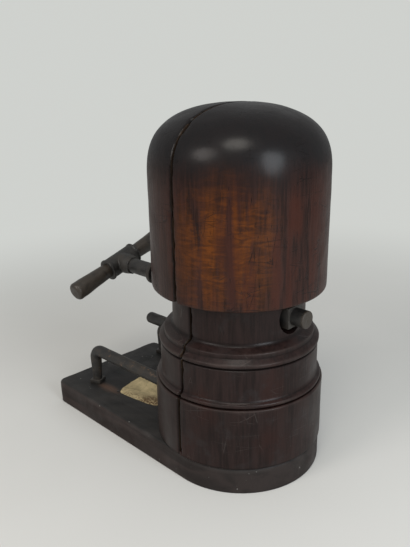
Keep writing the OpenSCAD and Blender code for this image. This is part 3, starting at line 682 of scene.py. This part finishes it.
def pedestal_half(name, node, face_x, side, body, seed, look):
    bm = turned(pedestal_outline(look), look.turning_steps)
    base = BOARD_TOP
    # Lighter bands at the drum edge, bead, lip and band: painted highlights along the rounded edges, partly worn wood
    # too.
    rubbed = [(base + 0.0652, 0.0016, 0.0866, 0.75), (base + 0.0690, 0.0022, 0.0852, 0.7),
              (base + 0.1105, 0.0026, 0.0820, 0.85), (base + 0.1197, 0.0022, 0.0765, 0.6)]
    # Darker bands in the grooves, at the neck foot and where the foot meets the board: painted shade, with some dirt on
    # the ledge.
    grimy = [(base + 0.0661, 0.0014, 0.0855, 0.95), (base + 0.0721, 0.0014, 0.0835, 0.8),
             (base + 0.1062, 0.0026, 0.0817, 0.95), (base + 0.1153, 0.0016, 0.0790, 0.6),
             (base + 0.1253, 0.0030, 0.0712, 0.7), (base + 0.0006, 0.0012, 0.1, 0.8)]
    paint_turned_wear_and_shading(bm, rubbed, grimy)
    saw_in_two(bm, face_x, side, look, seed)
    if side < 0:
        clear = bm.verts[:] + bm.edges[:] + bm.faces[:]
        bmesh.ops.bisect_plane(bm, geom=clear, dist=1e-7, plane_co=(0, 0, base + 0.0005),
                               plane_no=(0, 0, 1), clear_inner=True)
        bmesh.ops.holes_fill(bm, edges=[e for e in bm.edges if e.is_boundary], sides=0)
    rough_up(bm, look.dent_depth, 24, seed,
             keep=lambda v: v.co.z < base + 0.002 or v.co.z > CROWN_FOOT - 0.001 or (v.co.x - face_x) * side < 0.001)
    bmesh.ops.recalc_face_normals(bm, faces=bm.faces)
    return settle(name, bm, [waxed_pedestal, sawn_wood], body, [node])


def closing_lip(start, stop):
    """Low lip that fills the foot of the gap when the form is closed."""
    bm = bmesh.new()
    bmesh.ops.create_cube(bm, size=1.0)
    height, across = 0.0046, 2 * (CROWN_HIGH[0] - 0.0006)
    bmesh.ops.scale(bm, verts=bm.verts, vec=(stop - start, across, height))
    bmesh.ops.translate(bm, verts=bm.verts, vec=((start + stop) / 2, 0, BOARD_TOP + height / 2))
    bmesh.ops.bevel(bm, geom=bm.edges[:], offset=0.0006, segments=2, profile=0.5, affect="EDGES", material=-1)
    return bm


# Operators

class HATFORM_OT_finishes(bpy.types.Operator):
    """Mix the wood, iron and paper finishes"""
    bl_idname = "hatform.finishes"
    bl_label = "Finishes"

    def execute(self, context):
        global polished_crown, waxed_pedestal, sawn_wood, bare_dowel, grimy_board
        global black_iron, rubbed_iron, rusty_iron, stained_paper
        scene = context.scene
        polished_crown = polished_crown_finish(scene.hatform_wood)
        waxed_pedestal = waxed_pedestal_finish(scene.hatform_wood)
        sawn_wood = sawn_wood_finish()
        bare_dowel = bare_dowel_finish()
        grimy_board = grimy_board_finish(scene.hatform_wood)
        black_iron = old_iron_finish("black_iron", scene.hatform_iron, 0.15, 0.15, 0.5)
        rubbed_iron = old_iron_finish("rubbed_iron", scene.hatform_iron, 0.75, 0.1, 0.42)
        rusty_iron = old_iron_finish("rusty_iron", scene.hatform_iron, 0.35, 0.45, 0.55)
        stained_paper = stained_paper_finish(scene.hatform_paper)
        return {"FINISHED"}


class HATFORM_OT_crown(bpy.types.Operator):
    """Turn the crown and saw it in two"""
    bl_idname = "hatform.crown"
    bl_label = "Crown halves"

    def execute(self, context):
        look = context.scene.hatform_wood
        crown_half("crown_fixed_half", "fixed_crown", FIXED_FACE, 1, "base", 1.7, look)
        crown_half("crown_moving_half", "moving_crown", MOVING_FACE, -1, "moving_half", 6.1, look)
        return {"FINISHED"}


class HATFORM_OT_pedestal(bpy.types.Operator):
    """Turn the pedestal, saw it in two and bore it for the rods and the screw"""
    bl_idname = "hatform.pedestal"
    bl_label = "Pedestal halves"

    def execute(self, context):
        look = context.scene.hatform_wood
        fixed = pedestal_half("pedestal_fixed_half", "fixed_pedestal", FIXED_FACE, 1, "base", 2.3, look)
        recess_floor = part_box("bearing_plate")[0][0]
        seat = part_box("thrust_collar")[1][0] + 0.0003
        collar_r = (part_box("thrust_collar")[1][1]) + 0.0003
        screw_r = 0.00903
        steps = [(0, FIXED_FACE - 0.004), (collar_r, FIXED_FACE - 0.004), (collar_r, seat), (screw_r, seat),
                 (screw_r, recess_floor), (0.0174, recess_floor), (0.0179, recess_floor + 0.0005),
                 (0.0181, 0.064), (0.0187, 0.0705), (0.0187, 0.1), (0, 0.1)]
        bores = turned(steps, 72, "X", 1.0)
        bmesh.ops.translate(bores, verts=bores.verts, vec=(0, 0, SCREW_Z))
        socket_end = NEAR_HIGH[0] + 0.001
        for y, z, r in rod_places():
            add_in(bores, bore_along_x(FIXED_FACE - 0.004, socket_end, y, z, r + 0.00005))
        bored(fixed, bores, "fixed_bores")
        bm = bmesh.new()
        bm.from_mesh(fixed.data)
        add_in(bm, closing_lip(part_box("fixed_pedestal")[0][0], FIXED_FACE + MM))
        bm.to_mesh(fixed.data)
        bm.free()
        moving = pedestal_half("pedestal_moving_half", "moving_pedestal", MOVING_FACE, -1, "moving_half", 8.9, look)
        nut_low, nut_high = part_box("drive_nut")
        barrel_r = 0.01455
        steps = [(0, -0.1), (0.00995, -0.1), (0.00995, nut_low[0]), (barrel_r, nut_low[0]),
                 (barrel_r, MOVING_FACE + 0.004), (0, MOVING_FACE + 0.004)]
        bores = turned(steps, 64, "X", 1.0)
        bmesh.ops.translate(bores, verts=bores.verts, vec=(0, 0, SCREW_Z))
        for y, z, r in rod_places():
            add_in(bores, bore_along_x(-0.1, MOVING_FACE + 0.004, y, z, r + 0.0001))
        bored(moving, bores, "moving_bores")
        pocket = bmesh.new()
        bmesh.ops.create_cube(pocket, size=1.0)
        flange = nut_high[1] - nut_low[1] + 0.0001
        bmesh.ops.scale(pocket, verts=pocket.verts, vec=(0.020, flange, flange))
        bmesh.ops.translate(pocket, verts=pocket.verts, vec=(MOVING_FACE - 0.006 + 0.010, 0, SCREW_Z))
        bored(moving, pocket, "flange_pocket")
        return {"FINISHED"}


def rod_places():
    """Height, place across and radius of the three straight runs that enter the pedestal."""
    r = (NEAR_HIGH[1] - NEAR_LOW[1]) / 2
    pin = (PIN_HIGH[2] - PIN_LOW[2]) / 2
    return [((NEAR_LOW[1] + NEAR_HIGH[1]) / 2, NEAR_HIGH[2] - r, r),
            ((FAR_LOW[1] + FAR_HIGH[1]) / 2, FAR_HIGH[2] - r, r),
            (0.0, (PIN_LOW[2] + PIN_HIGH[2]) / 2, pin)]


class HATFORM_OT_board(bpy.types.Operator):
    """Cut the board, round its edges and wear its tail"""
    bl_idname = "hatform.board"
    bl_label = "Board"

    def execute(self, context):
        look = context.scene.hatform_wood
        bm = bmesh.new()
        end_x, corner_r, reach = 0.0015, 0.008, 0.228
        end_r = BOARD_HIGH[0] - end_x
        tail = BOARD_LOW[0]
        tail_w = end_r - 0.007
        far_off = math.hypot(tail_w, reach + end_x)
        touch = 180 - math.degrees(math.atan(tail_w / (reach + end_x)) + math.acos(end_r / far_off))
        skew = tail_w * math.tan(math.radians(2))
        points = arc((end_x, 0), end_r, -touch, touch, 90)
        points += arc((skew + corner_r - reach, tail_w - corner_r), corner_r, touch, 180)
        points += arc((corner_r - skew - reach, corner_r - tail_w), corner_r, 180, 360 - touch)
        points = split_long(points + points[:1], 0.003)[:-1]
        face = bm.faces.new([bm.verts.new((x, y, 0)) for x, y in points])
        raised = bmesh.ops.extrude_face_region(bm, geom=[face])["geom"]
        lifted = [g for g in raised if isinstance(g, bmesh.types.BMVert)]
        bmesh.ops.translate(bm, verts=lifted, vec=(0, 0, BOARD_TOP))
        bmesh.ops.recalc_face_normals(bm, faces=bm.faces)
        upper = [e for e in bm.edges if min(v.co.z for v in e.verts) > BOARD_TOP - 1e-6]
        lower = [e for e in bm.edges if max(v.co.z for v in e.verts) < 1e-6]
        bmesh.ops.bevel(bm, geom=upper, offset=0.0030, segments=4, profile=0.5, affect="EDGES", material=-1)
        bmesh.ops.bevel(bm, geom=lower, offset=0.0014, segments=2, profile=0.5, affect="EDGES", material=-1)
        uprights = [e for e in bm.edges if abs(e.verts[0].co.z - e.verts[1].co.z) > 0.01]
        bmesh.ops.subdivide_edges(bm, edges=uprights, cuts=7)
        wear_and_highlight = vertex_paint_layer(bm)
        bm.normal_update()
        for vert in bm.verts:
            # Lighter band along the rounded top edge: worn wood, with a painted highlight along the edge.
            edge_near = max(0.0, 1 - abs(vert.co.z - (BOARD_TOP - 0.0015)) / 0.004)
            patch = smooth_noise(vert.co, 60, 4.0) + 0.45
            vert[wear_and_highlight] = min(1.0, edge_near * max(0.0, patch))
            from_tail = vert.co.x - tail
            if from_tail < 0.020 and vert.co.z > 0.004:
                far_side = min(1.0, max(0.0, (vert.co.y - 0.020) / 0.03))
                bite = max(0.0, smooth_noise((0, vert.co.y, 0), 75, 3.4) + 0.18)
                height = max(0.0, (vert.co.z - 0.004) / 0.0245)
                vert.co.x += far_side * bite * 0.0048 * height * max(0.0, 1 - from_tail / 0.020)
        rough_up(bm, 0.00045, 34, 12.0, keep=lambda v: v.co.z < 0.002 or v.co.z > BOARD_TOP - 0.0005)
        board = settle("worn_board", bm, [grimy_board], "base", ["base_board"], 30)
        pocket_r, pocket_z, foot_r, past = 0.0112, 0.012, 0.00575, 0.001
        holes = bmesh.new()
        for y, _, _ in rod_places()[:2]:
            hole = turned([(0, -past), (pocket_r, -past), (pocket_r, pocket_z), (foot_r, pocket_z),
                           (foot_r, BOARD_TOP + past), (0, BOARD_TOP + past)], 48, "Z", 1.0)
            foot_x = NEAR_LOW[0] + (NEAR_HIGH[1] - NEAR_LOW[1]) / 2
            bmesh.ops.translate(hole, verts=hole.verts, vec=(foot_x, y, 0))
            add_in(holes, hole)
        for x, across in ((0.018, 0.024), (0.064, 0.036)):
            for y in (-across, across):
                hole = turned([(0, -past), (0.0048, -past), (0.0048, 0.0006), (0.00255, 0.0036),
                               (0.00255, BOARD_TOP + past), (0, BOARD_TOP + past)], 32, "Z", 1.0)
                bmesh.ops.translate(hole, verts=hole.verts, vec=(x, y, 0))
                add_in(holes, hole)
        bored(board, holes, "board_holes", 30)
        return {"FINISHED"}


def bent_rod(name, node, low, high, steps_round, look, seed):
    """Forges one bent rod: an arm into the pedestal, a bend and a tapered leg through the board."""
    r = (high[1] - low[1]) / 2
    y = (low[1] + high[1]) / 2
    z = high[2] - r
    bend = 0.011
    foot_x = low[0] + r
    bm = bmesh.new()
    place = Matrix.Translation((high[0], y, z)) @ Matrix.Rotation(math.pi / 2, 4, "Y")
    made = bmesh.ops.create_circle(bm, cap_ends=False, segments=steps_round, radius=r, matrix=place)
    ring = bm.edges[:]
    cap_ring(bm, ring)
    times = 90
    ring = draw_out(bm, ring, ((foot_x + bend - high[0]) / times, 0, 0), times)
    turn = bmesh.ops.spin(bm, geom=ring + list({v for e in ring for v in e.verts}), cent=(foot_x + bend, y, z - bend),
                          axis=(0, -1, 0), dvec=(0, 0, 0), angle=math.pi / 2, steps=12, use_merge=False,
                          use_duplicate=False)
    ring = [g for g in turn["geom_last"] if isinstance(g, bmesh.types.BMEdge)]
    leg_end = BOARD_TOP + 0.007
    times = 12
    ring = draw_out(bm, ring, (0, 0, (leg_end - (z - bend)) / times), times, (0.0057 / r) ** (1 / times))
    ring = draw_out(bm, ring, (0, 0, (low[2] - leg_end) / 12), 12)
    cap_ring(bm, ring)
    bmesh.ops.remove_doubles(bm, verts=bm.verts, dist=1e-6)
    bmesh.ops.recalc_face_normals(bm, faces=bm.faces)
    wear_and_highlight = vertex_paint_layer(bm)
    for vert in bm.verts:
        if abs(vert.co.z - z) < r * 1.1 and vert.co.x < -0.06:
            patch = 0.5 + 0.9 * smooth_noise(vert.co, 90, seed)
            vert[wear_and_highlight] = min(1.0, max(0.0, (1 - abs(vert.co.x + 0.098) / 0.032)) * max(0.0, patch))
    rough_up(bm, look.hammer_depth * 1.2, 70, seed, most=0.0,
             keep=lambda v: v.co.x > -0.07 or v.co.z < BOARD_TOP)
    return settle(name, bm, [rusty_iron], "base", [node], 50)


class HATFORM_OT_rods(bpy.types.Operator):
    """Forge the two bent rods and the straight guide pin"""
    bl_idname = "hatform.rods"
    bl_label = "Guide rods"

    def execute(self, context):
        look = context.scene.hatform_iron
        bent_rod("near_bent_rod", "near_guide_rod", NEAR_LOW, NEAR_HIGH, 40, look, 5.0)
        bent_rod("far_bent_rod", "far_guide_rod", FAR_LOW, FAR_HIGH, 40, look, 9.0)
        r = (PIN_HIGH[2] - PIN_LOW[2]) / 2
        length = PIN_HIGH[0] - PIN_LOW[0]
        outline = [(0, 0), (0.0012, 0.00005)] + [(a, b) for a, b in arc((r - 0.0048, 0.0048), 0.0048, -88, 0, 7)]
        outline += [(r, length), (0, length)]
        bm = turned(outline, 40, "X", 0.003)
        bmesh.ops.translate(bm, verts=bm.verts, vec=(PIN_LOW[0], 0, (PIN_LOW[2] + PIN_HIGH[2]) / 2))
        wear_and_highlight = vertex_paint_layer(bm)
        for vert in bm.verts:
            vert[wear_and_highlight] = max(0.0, 1 - (vert.co.x - PIN_LOW[0]) / 0.004) * 0.7
        rough_up(bm, look.hammer_depth, 80, 3.0, most=0.0, keep=lambda v: v.co.x > -0.085)
        settle("straight_guide_pin", bm, [black_iron], "base", ["guide_pin"], 50)
        return {"FINISHED"}


class HATFORM_OT_nuts(bpy.types.Operator):
    """Make the square nuts of the rods and the screw"""
    bl_idname = "hatform.nuts"
    bl_label = "Square nuts"

    def execute(self, context):
        self.rod_nuts("upper_square_nuts", "rod_nuts", 23, 2.0)
        self.rod_nuts("lower_square_nuts", "rod_foot_nuts", 0, 3.0)
        low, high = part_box("end_nut")
        bm = self.square_nut(high[1] - low[1], high[0] - low[0], 0.0012)
        bmesh.ops.rotate(bm, verts=bm.verts, cent=(0, 0, 0), matrix=Matrix.Rotation(math.pi / 2, 3, "Y"))
        bmesh.ops.translate(bm, verts=bm.verts, vec=((low[0] + high[0]) / 2, 0, SCREW_Z))
        settle("screw_end_nut", bm, [black_iron], "spindle", ["end_nut"], 40)
        return {"FINISHED"}

    def square_nut(self, width, height, chamfer):
        bm = bmesh.new()
        bmesh.ops.create_cube(bm, size=1.0)
        bmesh.ops.scale(bm, verts=bm.verts, vec=(width, width, height))
        bmesh.ops.bevel(bm, geom=bm.edges[:], offset=chamfer * 0.45, segments=2, profile=0.5, affect="EDGES",
                        material=-1)
        bmesh.ops.subdivide_edges(bm, edges=bm.edges[:], cuts=2, use_grid_fill=True)
        rough_up(bm, 0.00016, 160, width * 300)
        wear_and_highlight = vertex_paint_layer(bm)
        for vert in bm.verts:
            edges_near = sum(abs(abs(c) - h / 2) < chamfer for c, h in zip(vert.co, (width, width, height)))
            vert[wear_and_highlight] = 0.5 if edges_near > 1 else 0.0
        return bm

    def rod_nuts(self, name, node, turn, seed):
        low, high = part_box(node)
        height = high[2] - low[2]
        bm = bmesh.new()
        for y, _, _ in rod_places()[:2]:
            nut = self.square_nut(0.014, height, 0.0012)
            bmesh.ops.rotate(nut, verts=nut.verts, cent=(0, 0, 0),
                             matrix=Matrix.Rotation(math.radians(turn), 3, "Z"))
            x = (low[0] + high[0]) / 2
            bmesh.ops.translate(nut, verts=nut.verts, vec=(x, y, (low[2] + high[2]) / 2))
            add_in(bm, nut)
        settle(name, bm, [black_iron], "base", [node], 40)


class HATFORM_OT_screw(bpy.types.Operator):
    """Turn the lead screw and cut its thread"""
    bl_idname = "hatform.screw"
    bl_label = "Lead screw"

    def execute(self, context):
        look = context.scene.hatform_iron
        r = 0.00895
        root = r - 0.0013
        stop = -0.1243
        thread_start, thread_end = stop + 0.003, FIXED_FACE - 0.0025
        tip = SCREW_HIGH[0]
        outline = [(0, SCREW_LOW[0]), (r, SCREW_LOW[0]), (r, stop - 0.0100), (r + 0.0012, stop - 0.0072),
                   (0.0119, stop - 0.0058), (0.0131, stop - 0.0052), (0.0135, stop - 0.0044),
                   (0.0135, stop - 0.0006), (0.0129, stop), (r, stop), (r, thread_start - 0.0006),
                   (root, thread_start), (root, thread_end), (r, thread_end + 0.0010),
                   (r, tip - 0.0014)]
        outline += arc((r - 0.0014, tip - 0.0014), 0.0014, 20, 85, 4)
        outline += [(0.0040, tip - 0.0001), (0.0012, tip - 0.0004), (0, tip - 0.0010)]
        bm = turned(outline, 56, "X", 0.002)
        pitch = look.thread_pitch
        turns = int((thread_end - thread_start) / pitch) - 1
        ridge = bmesh.new()
        corners = [(root - 0.0006, 0.0), (r - 0.00015, 0.00115), (r, 0.0014), (r, 0.0020), (r - 0.00015, 0.00225),
                   (root - 0.0006, 0.0034)]
        points = [ridge.verts.new((thread_start + 0.0005 + x, 0, rr)) for rr, x in corners]
        loop = [ridge.edges.new((a, b)) for a, b in zip(points, points[1:] + points[:1])]
        per_turn = 40
        cap_ring(ridge, loop)
        made = bmesh.ops.spin(ridge, geom=points + loop, cent=(0, 0, 0), axis=(1, 0, 0),
                              dvec=(-pitch / per_turn, 0, 0), angle=2 * math.pi * turns, steps=per_turn * turns,
                              use_merge=False, use_duplicate=False)
        last = [g for g in made["geom_last"] if isinstance(g, bmesh.types.BMEdge)]
        cap_ring(ridge, last)
        drift = min(v.co.x for v in ridge.verts) < thread_start
        if drift:
            bmesh.ops.translate(ridge, verts=ridge.verts, vec=(pitch * turns, 0, 0))
        bmesh.ops.recalc_face_normals(ridge, faces=ridge.faces)
        add_in(bm, ridge)
        bmesh.ops.translate(bm, verts=bm.verts, vec=(0, 0, SCREW_Z))
        wear_and_highlight = vertex_paint_layer(bm)
        for vert in bm.verts:
            if vert.co.x > tip - 0.0016:
                vert[wear_and_highlight] = 1.0
            elif abs(vert.co.x - (stop - 0.0028)) < 0.004 and (vert.co - Vector((vert.co.x, 0, SCREW_Z))).length > 0.0128:
                vert[wear_and_highlight] = 0.45
        settle("lead_screw_and_stop", bm, [black_iron], "spindle", ["lead_screw"], 40)
        return {"FINISHED"}


def along_bar(bm):
    """Lays a piece made about Z along the T-bar, at its tilt and place."""
    turn = Matrix.Rotation(math.radians(16.5), 3, "X") @ Matrix.Rotation(-math.pi / 2, 3, "X")
    bmesh.ops.rotate(bm, verts=bm.verts, cent=(0, 0, 0), matrix=turn)
    bmesh.ops.translate(bm, verts=bm.verts, vec=(HANDLE_X, 0, SCREW_Z))


class HATFORM_OT_handle(bpy.types.Operator):
    """Make the cast tee and the rubbed T-bar"""
    bl_idname = "hatform.handle"
    bl_label = "T-handle"

    def execute(self, context):
        self.tee()
        self.bar(context.scene.hatform_iron)
        return {"FINISHED"}

    def tee(self):
        half, r = 0.022, 0.0123
        lip = r + 0.0009
        outline = [(0.0, -half), (0.0118, -half)]
        outline += [(lip - 0.0004, -half), (lip, -half + 0.0006), (lip, -half + 0.0024), (r, -half + 0.0032)]
        outline += [(r, half - 0.0032), (lip, half - 0.0024), (lip, half - 0.0006), (lip - 0.0004, half)]
        outline += [(0.0118, half), (0.0, half)]
        bm = turned(outline, 48, "Z", 0.002)
        along_bar(bm)
        stem = turned([(0, 0.0), (0.0121, 0.0), (0.0121, 0.0125), (0.0117, 0.0165), (0.0108, 0.0205),
                       (0.0105, 0.0236), (0.0101, 0.024), (0, 0.024)], 48, "X", 0.002)
        bmesh.ops.translate(stem, verts=stem.verts, vec=(HANDLE_X, 0, SCREW_Z))
        add_in(bm, stem)
        bmesh.ops.recalc_face_normals(bm, faces=bm.faces)
        piece = settle("cast_tee", bm, [black_iron], "spindle", ["handle_tee"], 180)
        remesh = piece.modifiers.new("cast_skin", "REMESH")
        remesh.mode = "VOXEL"
        remesh.voxel_size = 0.00055
        remesh.use_smooth_shade = True
        ease = piece.modifiers.new("cast_fillets", "SMOOTH")
        ease.factor = 0.5
        ease.iterations = 5
        bpy.context.view_layer.update()
        seen = piece.evaluated_get(bpy.context.evaluated_depsgraph_get())
        cast = bpy.data.meshes.new_from_object(seen)
        piece.modifiers.clear()
        old = piece.data
        piece.data = cast
        bpy.data.meshes.remove(old)
        cast.name = "cast_tee"
        if not cast.materials:
            cast.materials.append(black_iron)
        bm = bmesh.new()
        bm.from_mesh(cast)
        wear_and_highlight = vertex_paint_layer(bm)
        # A lighter spot where the stem meets the tee: a painted highlight on the fillet, kept in the same layer as the
        # worn places.
        fillet_highlight = Vector((HANDLE_X + 0.010, -0.010, SCREW_Z + 0.009))
        for vert in bm.verts:
            patch = 0.7 + 0.6 * smooth_noise(vert.co, 150, 2.0)
            vert[wear_and_highlight] = max(0.0, 1 - (vert.co - fillet_highlight).length / 0.009) * patch
        rough_up(bm, 0.00012, 220, 6.0)
        for face in bm.faces:
            face.smooth = True
        bm.to_mesh(cast)
        bm.free()

    def bar(self, look):
        half = (0.148) / 2
        thin, thick = 0.0086, (BAR_HIGH[0] - BAR_LOW[0]) / 2
        side = [(thin, 0.0), (thin, 0.0235), (thin + 0.0003, 0.0245), (thick - 0.0009, 0.046), (thick, 0.060)]
        side += arc((thick - 0.0042, half - 0.0042), 0.0042, 0, 82, 7)
        side += [(0.0035, half - 0.0001), (0.0, half)]
        outline = [(r, -d) for r, d in reversed(side)] + side[1:]
        bm = turned(outline, 56, "Z", 0.002)
        wear_and_highlight = vertex_paint_layer(bm)
        for vert in bm.verts:
            far = abs(vert.co.z)
            patch = 0.75 + 0.7 * smooth_noise(vert.co, 110, 7.0)
            ring = max(0.0, 1 - abs(far - (half - 0.004)) / 0.010)
            vert[wear_and_highlight] = min(1.0, max(0.0, (0.25 * max(0.0, (far - 0.03) / 0.04) + 0.6 * ring) * patch))
        rough_up(bm, look.hammer_depth, 75, 15.0, keep=lambda v: abs(v.co.z) < 0.024)
        along_bar(bm)
        settle("rubbed_bar", bm, [rubbed_iron], "spindle", ["handle_bar"], 50)


class HATFORM_OT_label(bpy.types.Operator):
    """Lay the blank, stained paper label on the board"""
    bl_idname = "hatform.label"
    bl_label = "Paper label"

    def execute(self, context):
        length, width, turn = 0.068, 0.066, 8
        bm = bmesh.new()
        bmesh.ops.create_grid(bm, x_segments=90, y_segments=84, size=0.5)
        for vert in bm.verts:
            u, v = vert.co.x * 2, vert.co.y * 2
            squash_x = 1 - 0.05 * v * v - 0.10 * abs(v) ** 8
            squash_y = 1 - 0.01 * u * u - 0.08 * abs(u) ** 8
            x, y = u * squash_x * length / 2, v * squash_y * width / 2
            edge = max(abs(u), abs(v))
            if edge > 0.93:
                tear = (edge - 0.93) / 0.07 * 0.0007
                x -= math.copysign(tear * (1 + smooth_noise((x, y, 0), 260, 1.0)), x)
                y -= math.copysign(tear * (1 + smooth_noise((x, y, 0), 260, 4.0)), y)
            lift = 0.00006 + 0.00012 * max(0.0, smooth_noise((x, y, 0), 90, 8.0))
            vert.co = Vector((x, y, lift))
        bmesh.ops.solidify(bm, geom=bm.faces[:], thickness=0.00005)
        low = min(v.co.z for v in bm.verts)
        bmesh.ops.rotate(bm, verts=bm.verts, cent=(0, 0, 0), matrix=Matrix.Rotation(math.radians(turn), 3, "Z"))
        middle = ((LABEL_LOW[0] + LABEL_HIGH[0]) / 2, (LABEL_LOW[1] + LABEL_HIGH[1]) / 2)
        bmesh.ops.translate(bm, verts=bm.verts, vec=(middle[0], middle[1], BOARD_TOP - low))
        wear_and_highlight = vertex_paint_layer(bm)
        settle("blank_paper_label", bm, [stained_paper], "base", ["paper_label"], 60)
        return {"FINISHED"}


class HATFORM_OT_fittings(bpy.types.Operator):
    """Finish the small fittings that keep their modelled shape"""
    bl_idname = "hatform.fittings"
    bl_label = "Fittings"

    def execute(self, context):
        for node in ("fixed_crown_dowels", "moving_crown_dowels"):
            dress_node(node, bare_dowel)
        for node in ("pedestal_screws", "drive_nut_screws", "collar_pin", "thrust_collar"):
            dress_node(node, rubbed_iron)
        for node in ("bearing_plate", "drive_nut", "label_tack", "tee_rivet"):
            dress_node(node, black_iron)
        return {"FINISHED"}


class HATFORM_OT_stage(bpy.types.Operator):
    """Set the floor, the lamps and the camera"""
    bl_idname = "hatform.stage"
    bl_label = "Stage"

    def execute(self, context):
        look = context.scene.hatform_stage
        bm = bmesh.new()
        bmesh.ops.create_circle(bm, cap_ends=True, segments=96, radius=9.0)
        mesh = bpy.data.meshes.new("floor")
        bm.to_mesh(mesh)
        bm.free()
        mesh.materials.append(backdrop_finish(look))
        floor = bpy.data.objects.new("floor", mesh)
        context.scene.collection.objects.link(floor)
        self.lamp("window", (0.93, -0.13, 0.36), 1.25, 0.62, 0.80, (0.90, 0.95, 1.0), 9.2 * look.lamp_light)
        self.lamp("ceiling", (0.28, -0.41, 0.87), 1.35, 0.55, 0.55, (1.0, 0.96, 0.88), 6.2 * look.lamp_light)
        self.lamp("room", (-0.12, -0.82, 0.56), 1.35, 0.55, 0.55, (1.0, 0.93, 0.88), 5.2 * look.lamp_light)
        self.world(context, look)
        self.camera(context)
        context.scene.view_settings.view_transform = "Standard"
        return {"FINISHED"}

    def lamp(self, name, way, distance, width, height, colour, power):
        data = bpy.data.lights.new(name, "AREA")
        data.shape = "ELLIPSE"
        data.size, data.size_y = width, height
        data.color = colour
        data.energy = power
        lamp = bpy.data.objects.new(name, data)
        centre = Vector((0.02, -0.02, 0.22))
        lamp.location = centre + Vector(way).normalized() * distance
        lamp.rotation_euler = (lamp.location - centre).to_track_quat("Z", "Y").to_euler()
        bpy.context.scene.collection.objects.link(lamp)

    def world(self, context, look):
        world = bpy.data.worlds.new("pale_room")
        world.use_nodes = True
        tree = world.node_tree
        tree.nodes.clear()
        out = tree.nodes.new("ShaderNodeOutputWorld")
        mix = tree.nodes.new("ShaderNodeMixShader")
        light = tree.nodes.new("ShaderNodeBackground")
        seen = tree.nodes.new("ShaderNodeBackground")
        path = tree.nodes.new("ShaderNodeLightPath")
        light.inputs[0].default_value = (0.98, 1.0, 1.0, 1)
        light.inputs[1].default_value = look.room_light
        seen.inputs[0].default_value = (*look.backdrop, 1)
        seen.inputs[1].default_value = 1.0
        tree.links.new(path.outputs["Is Camera Ray"], mix.inputs[0])
        tree.links.new(light.outputs[0], mix.inputs[1])
        tree.links.new(seen.outputs[0], mix.inputs[2])
        tree.links.new(mix.outputs[0], out.inputs[0])
        context.scene.world = world

    def camera(self, context):
        data = bpy.data.cameras.new("photo_camera")
        data.sensor_fit = "AUTO"
        data.sensor_width = 36.0
        data.lens = 634.956 * 36.0 / 547
        data.clip_end = 50
        camera = bpy.data.objects.new("photo_camera", data)
        yaw, pitch, roll = math.radians(43.55), math.radians(19.202), math.radians(-0.92)
        back = Vector((math.sin(yaw) * math.cos(pitch), -math.cos(yaw) * math.cos(pitch), math.sin(pitch)))
        level = Vector((math.cos(yaw), math.sin(yaw), 0))
        upright = level.cross(-back)
        right = math.cos(roll) * level + math.sin(roll) * upright
        up = -math.sin(roll) * level + math.cos(roll) * upright
        turn = Matrix((right, up, back)).transposed()
        camera.matrix_world = Matrix.Translation((0.39557, -0.46592, 0.41504)) @ turn.to_4x4()
        context.scene.collection.objects.link(camera)
        context.scene.camera = camera


class HATFORM_PT_panel(bpy.types.Panel):
    """Lists the steps that build the hat form"""
    bl_idname = "HATFORM_PT_panel"
    bl_label = "Hat Form"
    bl_space_type = "VIEW_3D"
    bl_region_type = "UI"
    bl_category = "Hat Form"

    def draw(self, context):
        for group in ("hatform_wood", "hatform_iron", "hatform_paper", "hatform_stage"):
            box = self.layout.box()
            values = getattr(context.scene, group)
            for key in values.__annotations__:
                box.prop(values, key)
        for step in STEPS:
            self.layout.operator(step.bl_idname)


STEPS = (HATFORM_OT_finishes, HATFORM_OT_crown, HATFORM_OT_pedestal, HATFORM_OT_board, HATFORM_OT_rods,
         HATFORM_OT_nuts, HATFORM_OT_screw, HATFORM_OT_handle, HATFORM_OT_label, HATFORM_OT_fittings,
         HATFORM_OT_stage)
GROUPS = (HatFormWood, HatFormIron, HatFormPaper, HatFormStage)


def register():
    for cls in GROUPS + STEPS + (HATFORM_PT_panel,):
        bpy.utils.register_class(cls)
    bpy.types.Scene.hatform_wood = PointerProperty(type=HatFormWood)
    bpy.types.Scene.hatform_iron = PointerProperty(type=HatFormIron)
    bpy.types.Scene.hatform_paper = PointerProperty(type=HatFormPaper)
    bpy.types.Scene.hatform_stage = PointerProperty(type=HatFormStage)


def unregister():
    for name in ("hatform_wood", "hatform_iron", "hatform_paper", "hatform_stage"):
        delattr(bpy.types.Scene, name)
    for cls in reversed(GROUPS + STEPS + (HATFORM_PT_panel,)):
        bpy.utils.unregister_class(cls)


def main():
    register()
    bpy.ops.hatform.finishes()
    bpy.ops.hatform.crown()
    bpy.ops.hatform.pedestal()
    bpy.ops.hatform.board()
    bpy.ops.hatform.rods()
    bpy.ops.hatform.nuts()
    bpy.ops.hatform.screw()
    bpy.ops.hatform.handle()
    bpy.ops.hatform.label()
    bpy.ops.hatform.fittings()
    bpy.ops.hatform.stage()


if __name__ == "__main__":
    main()
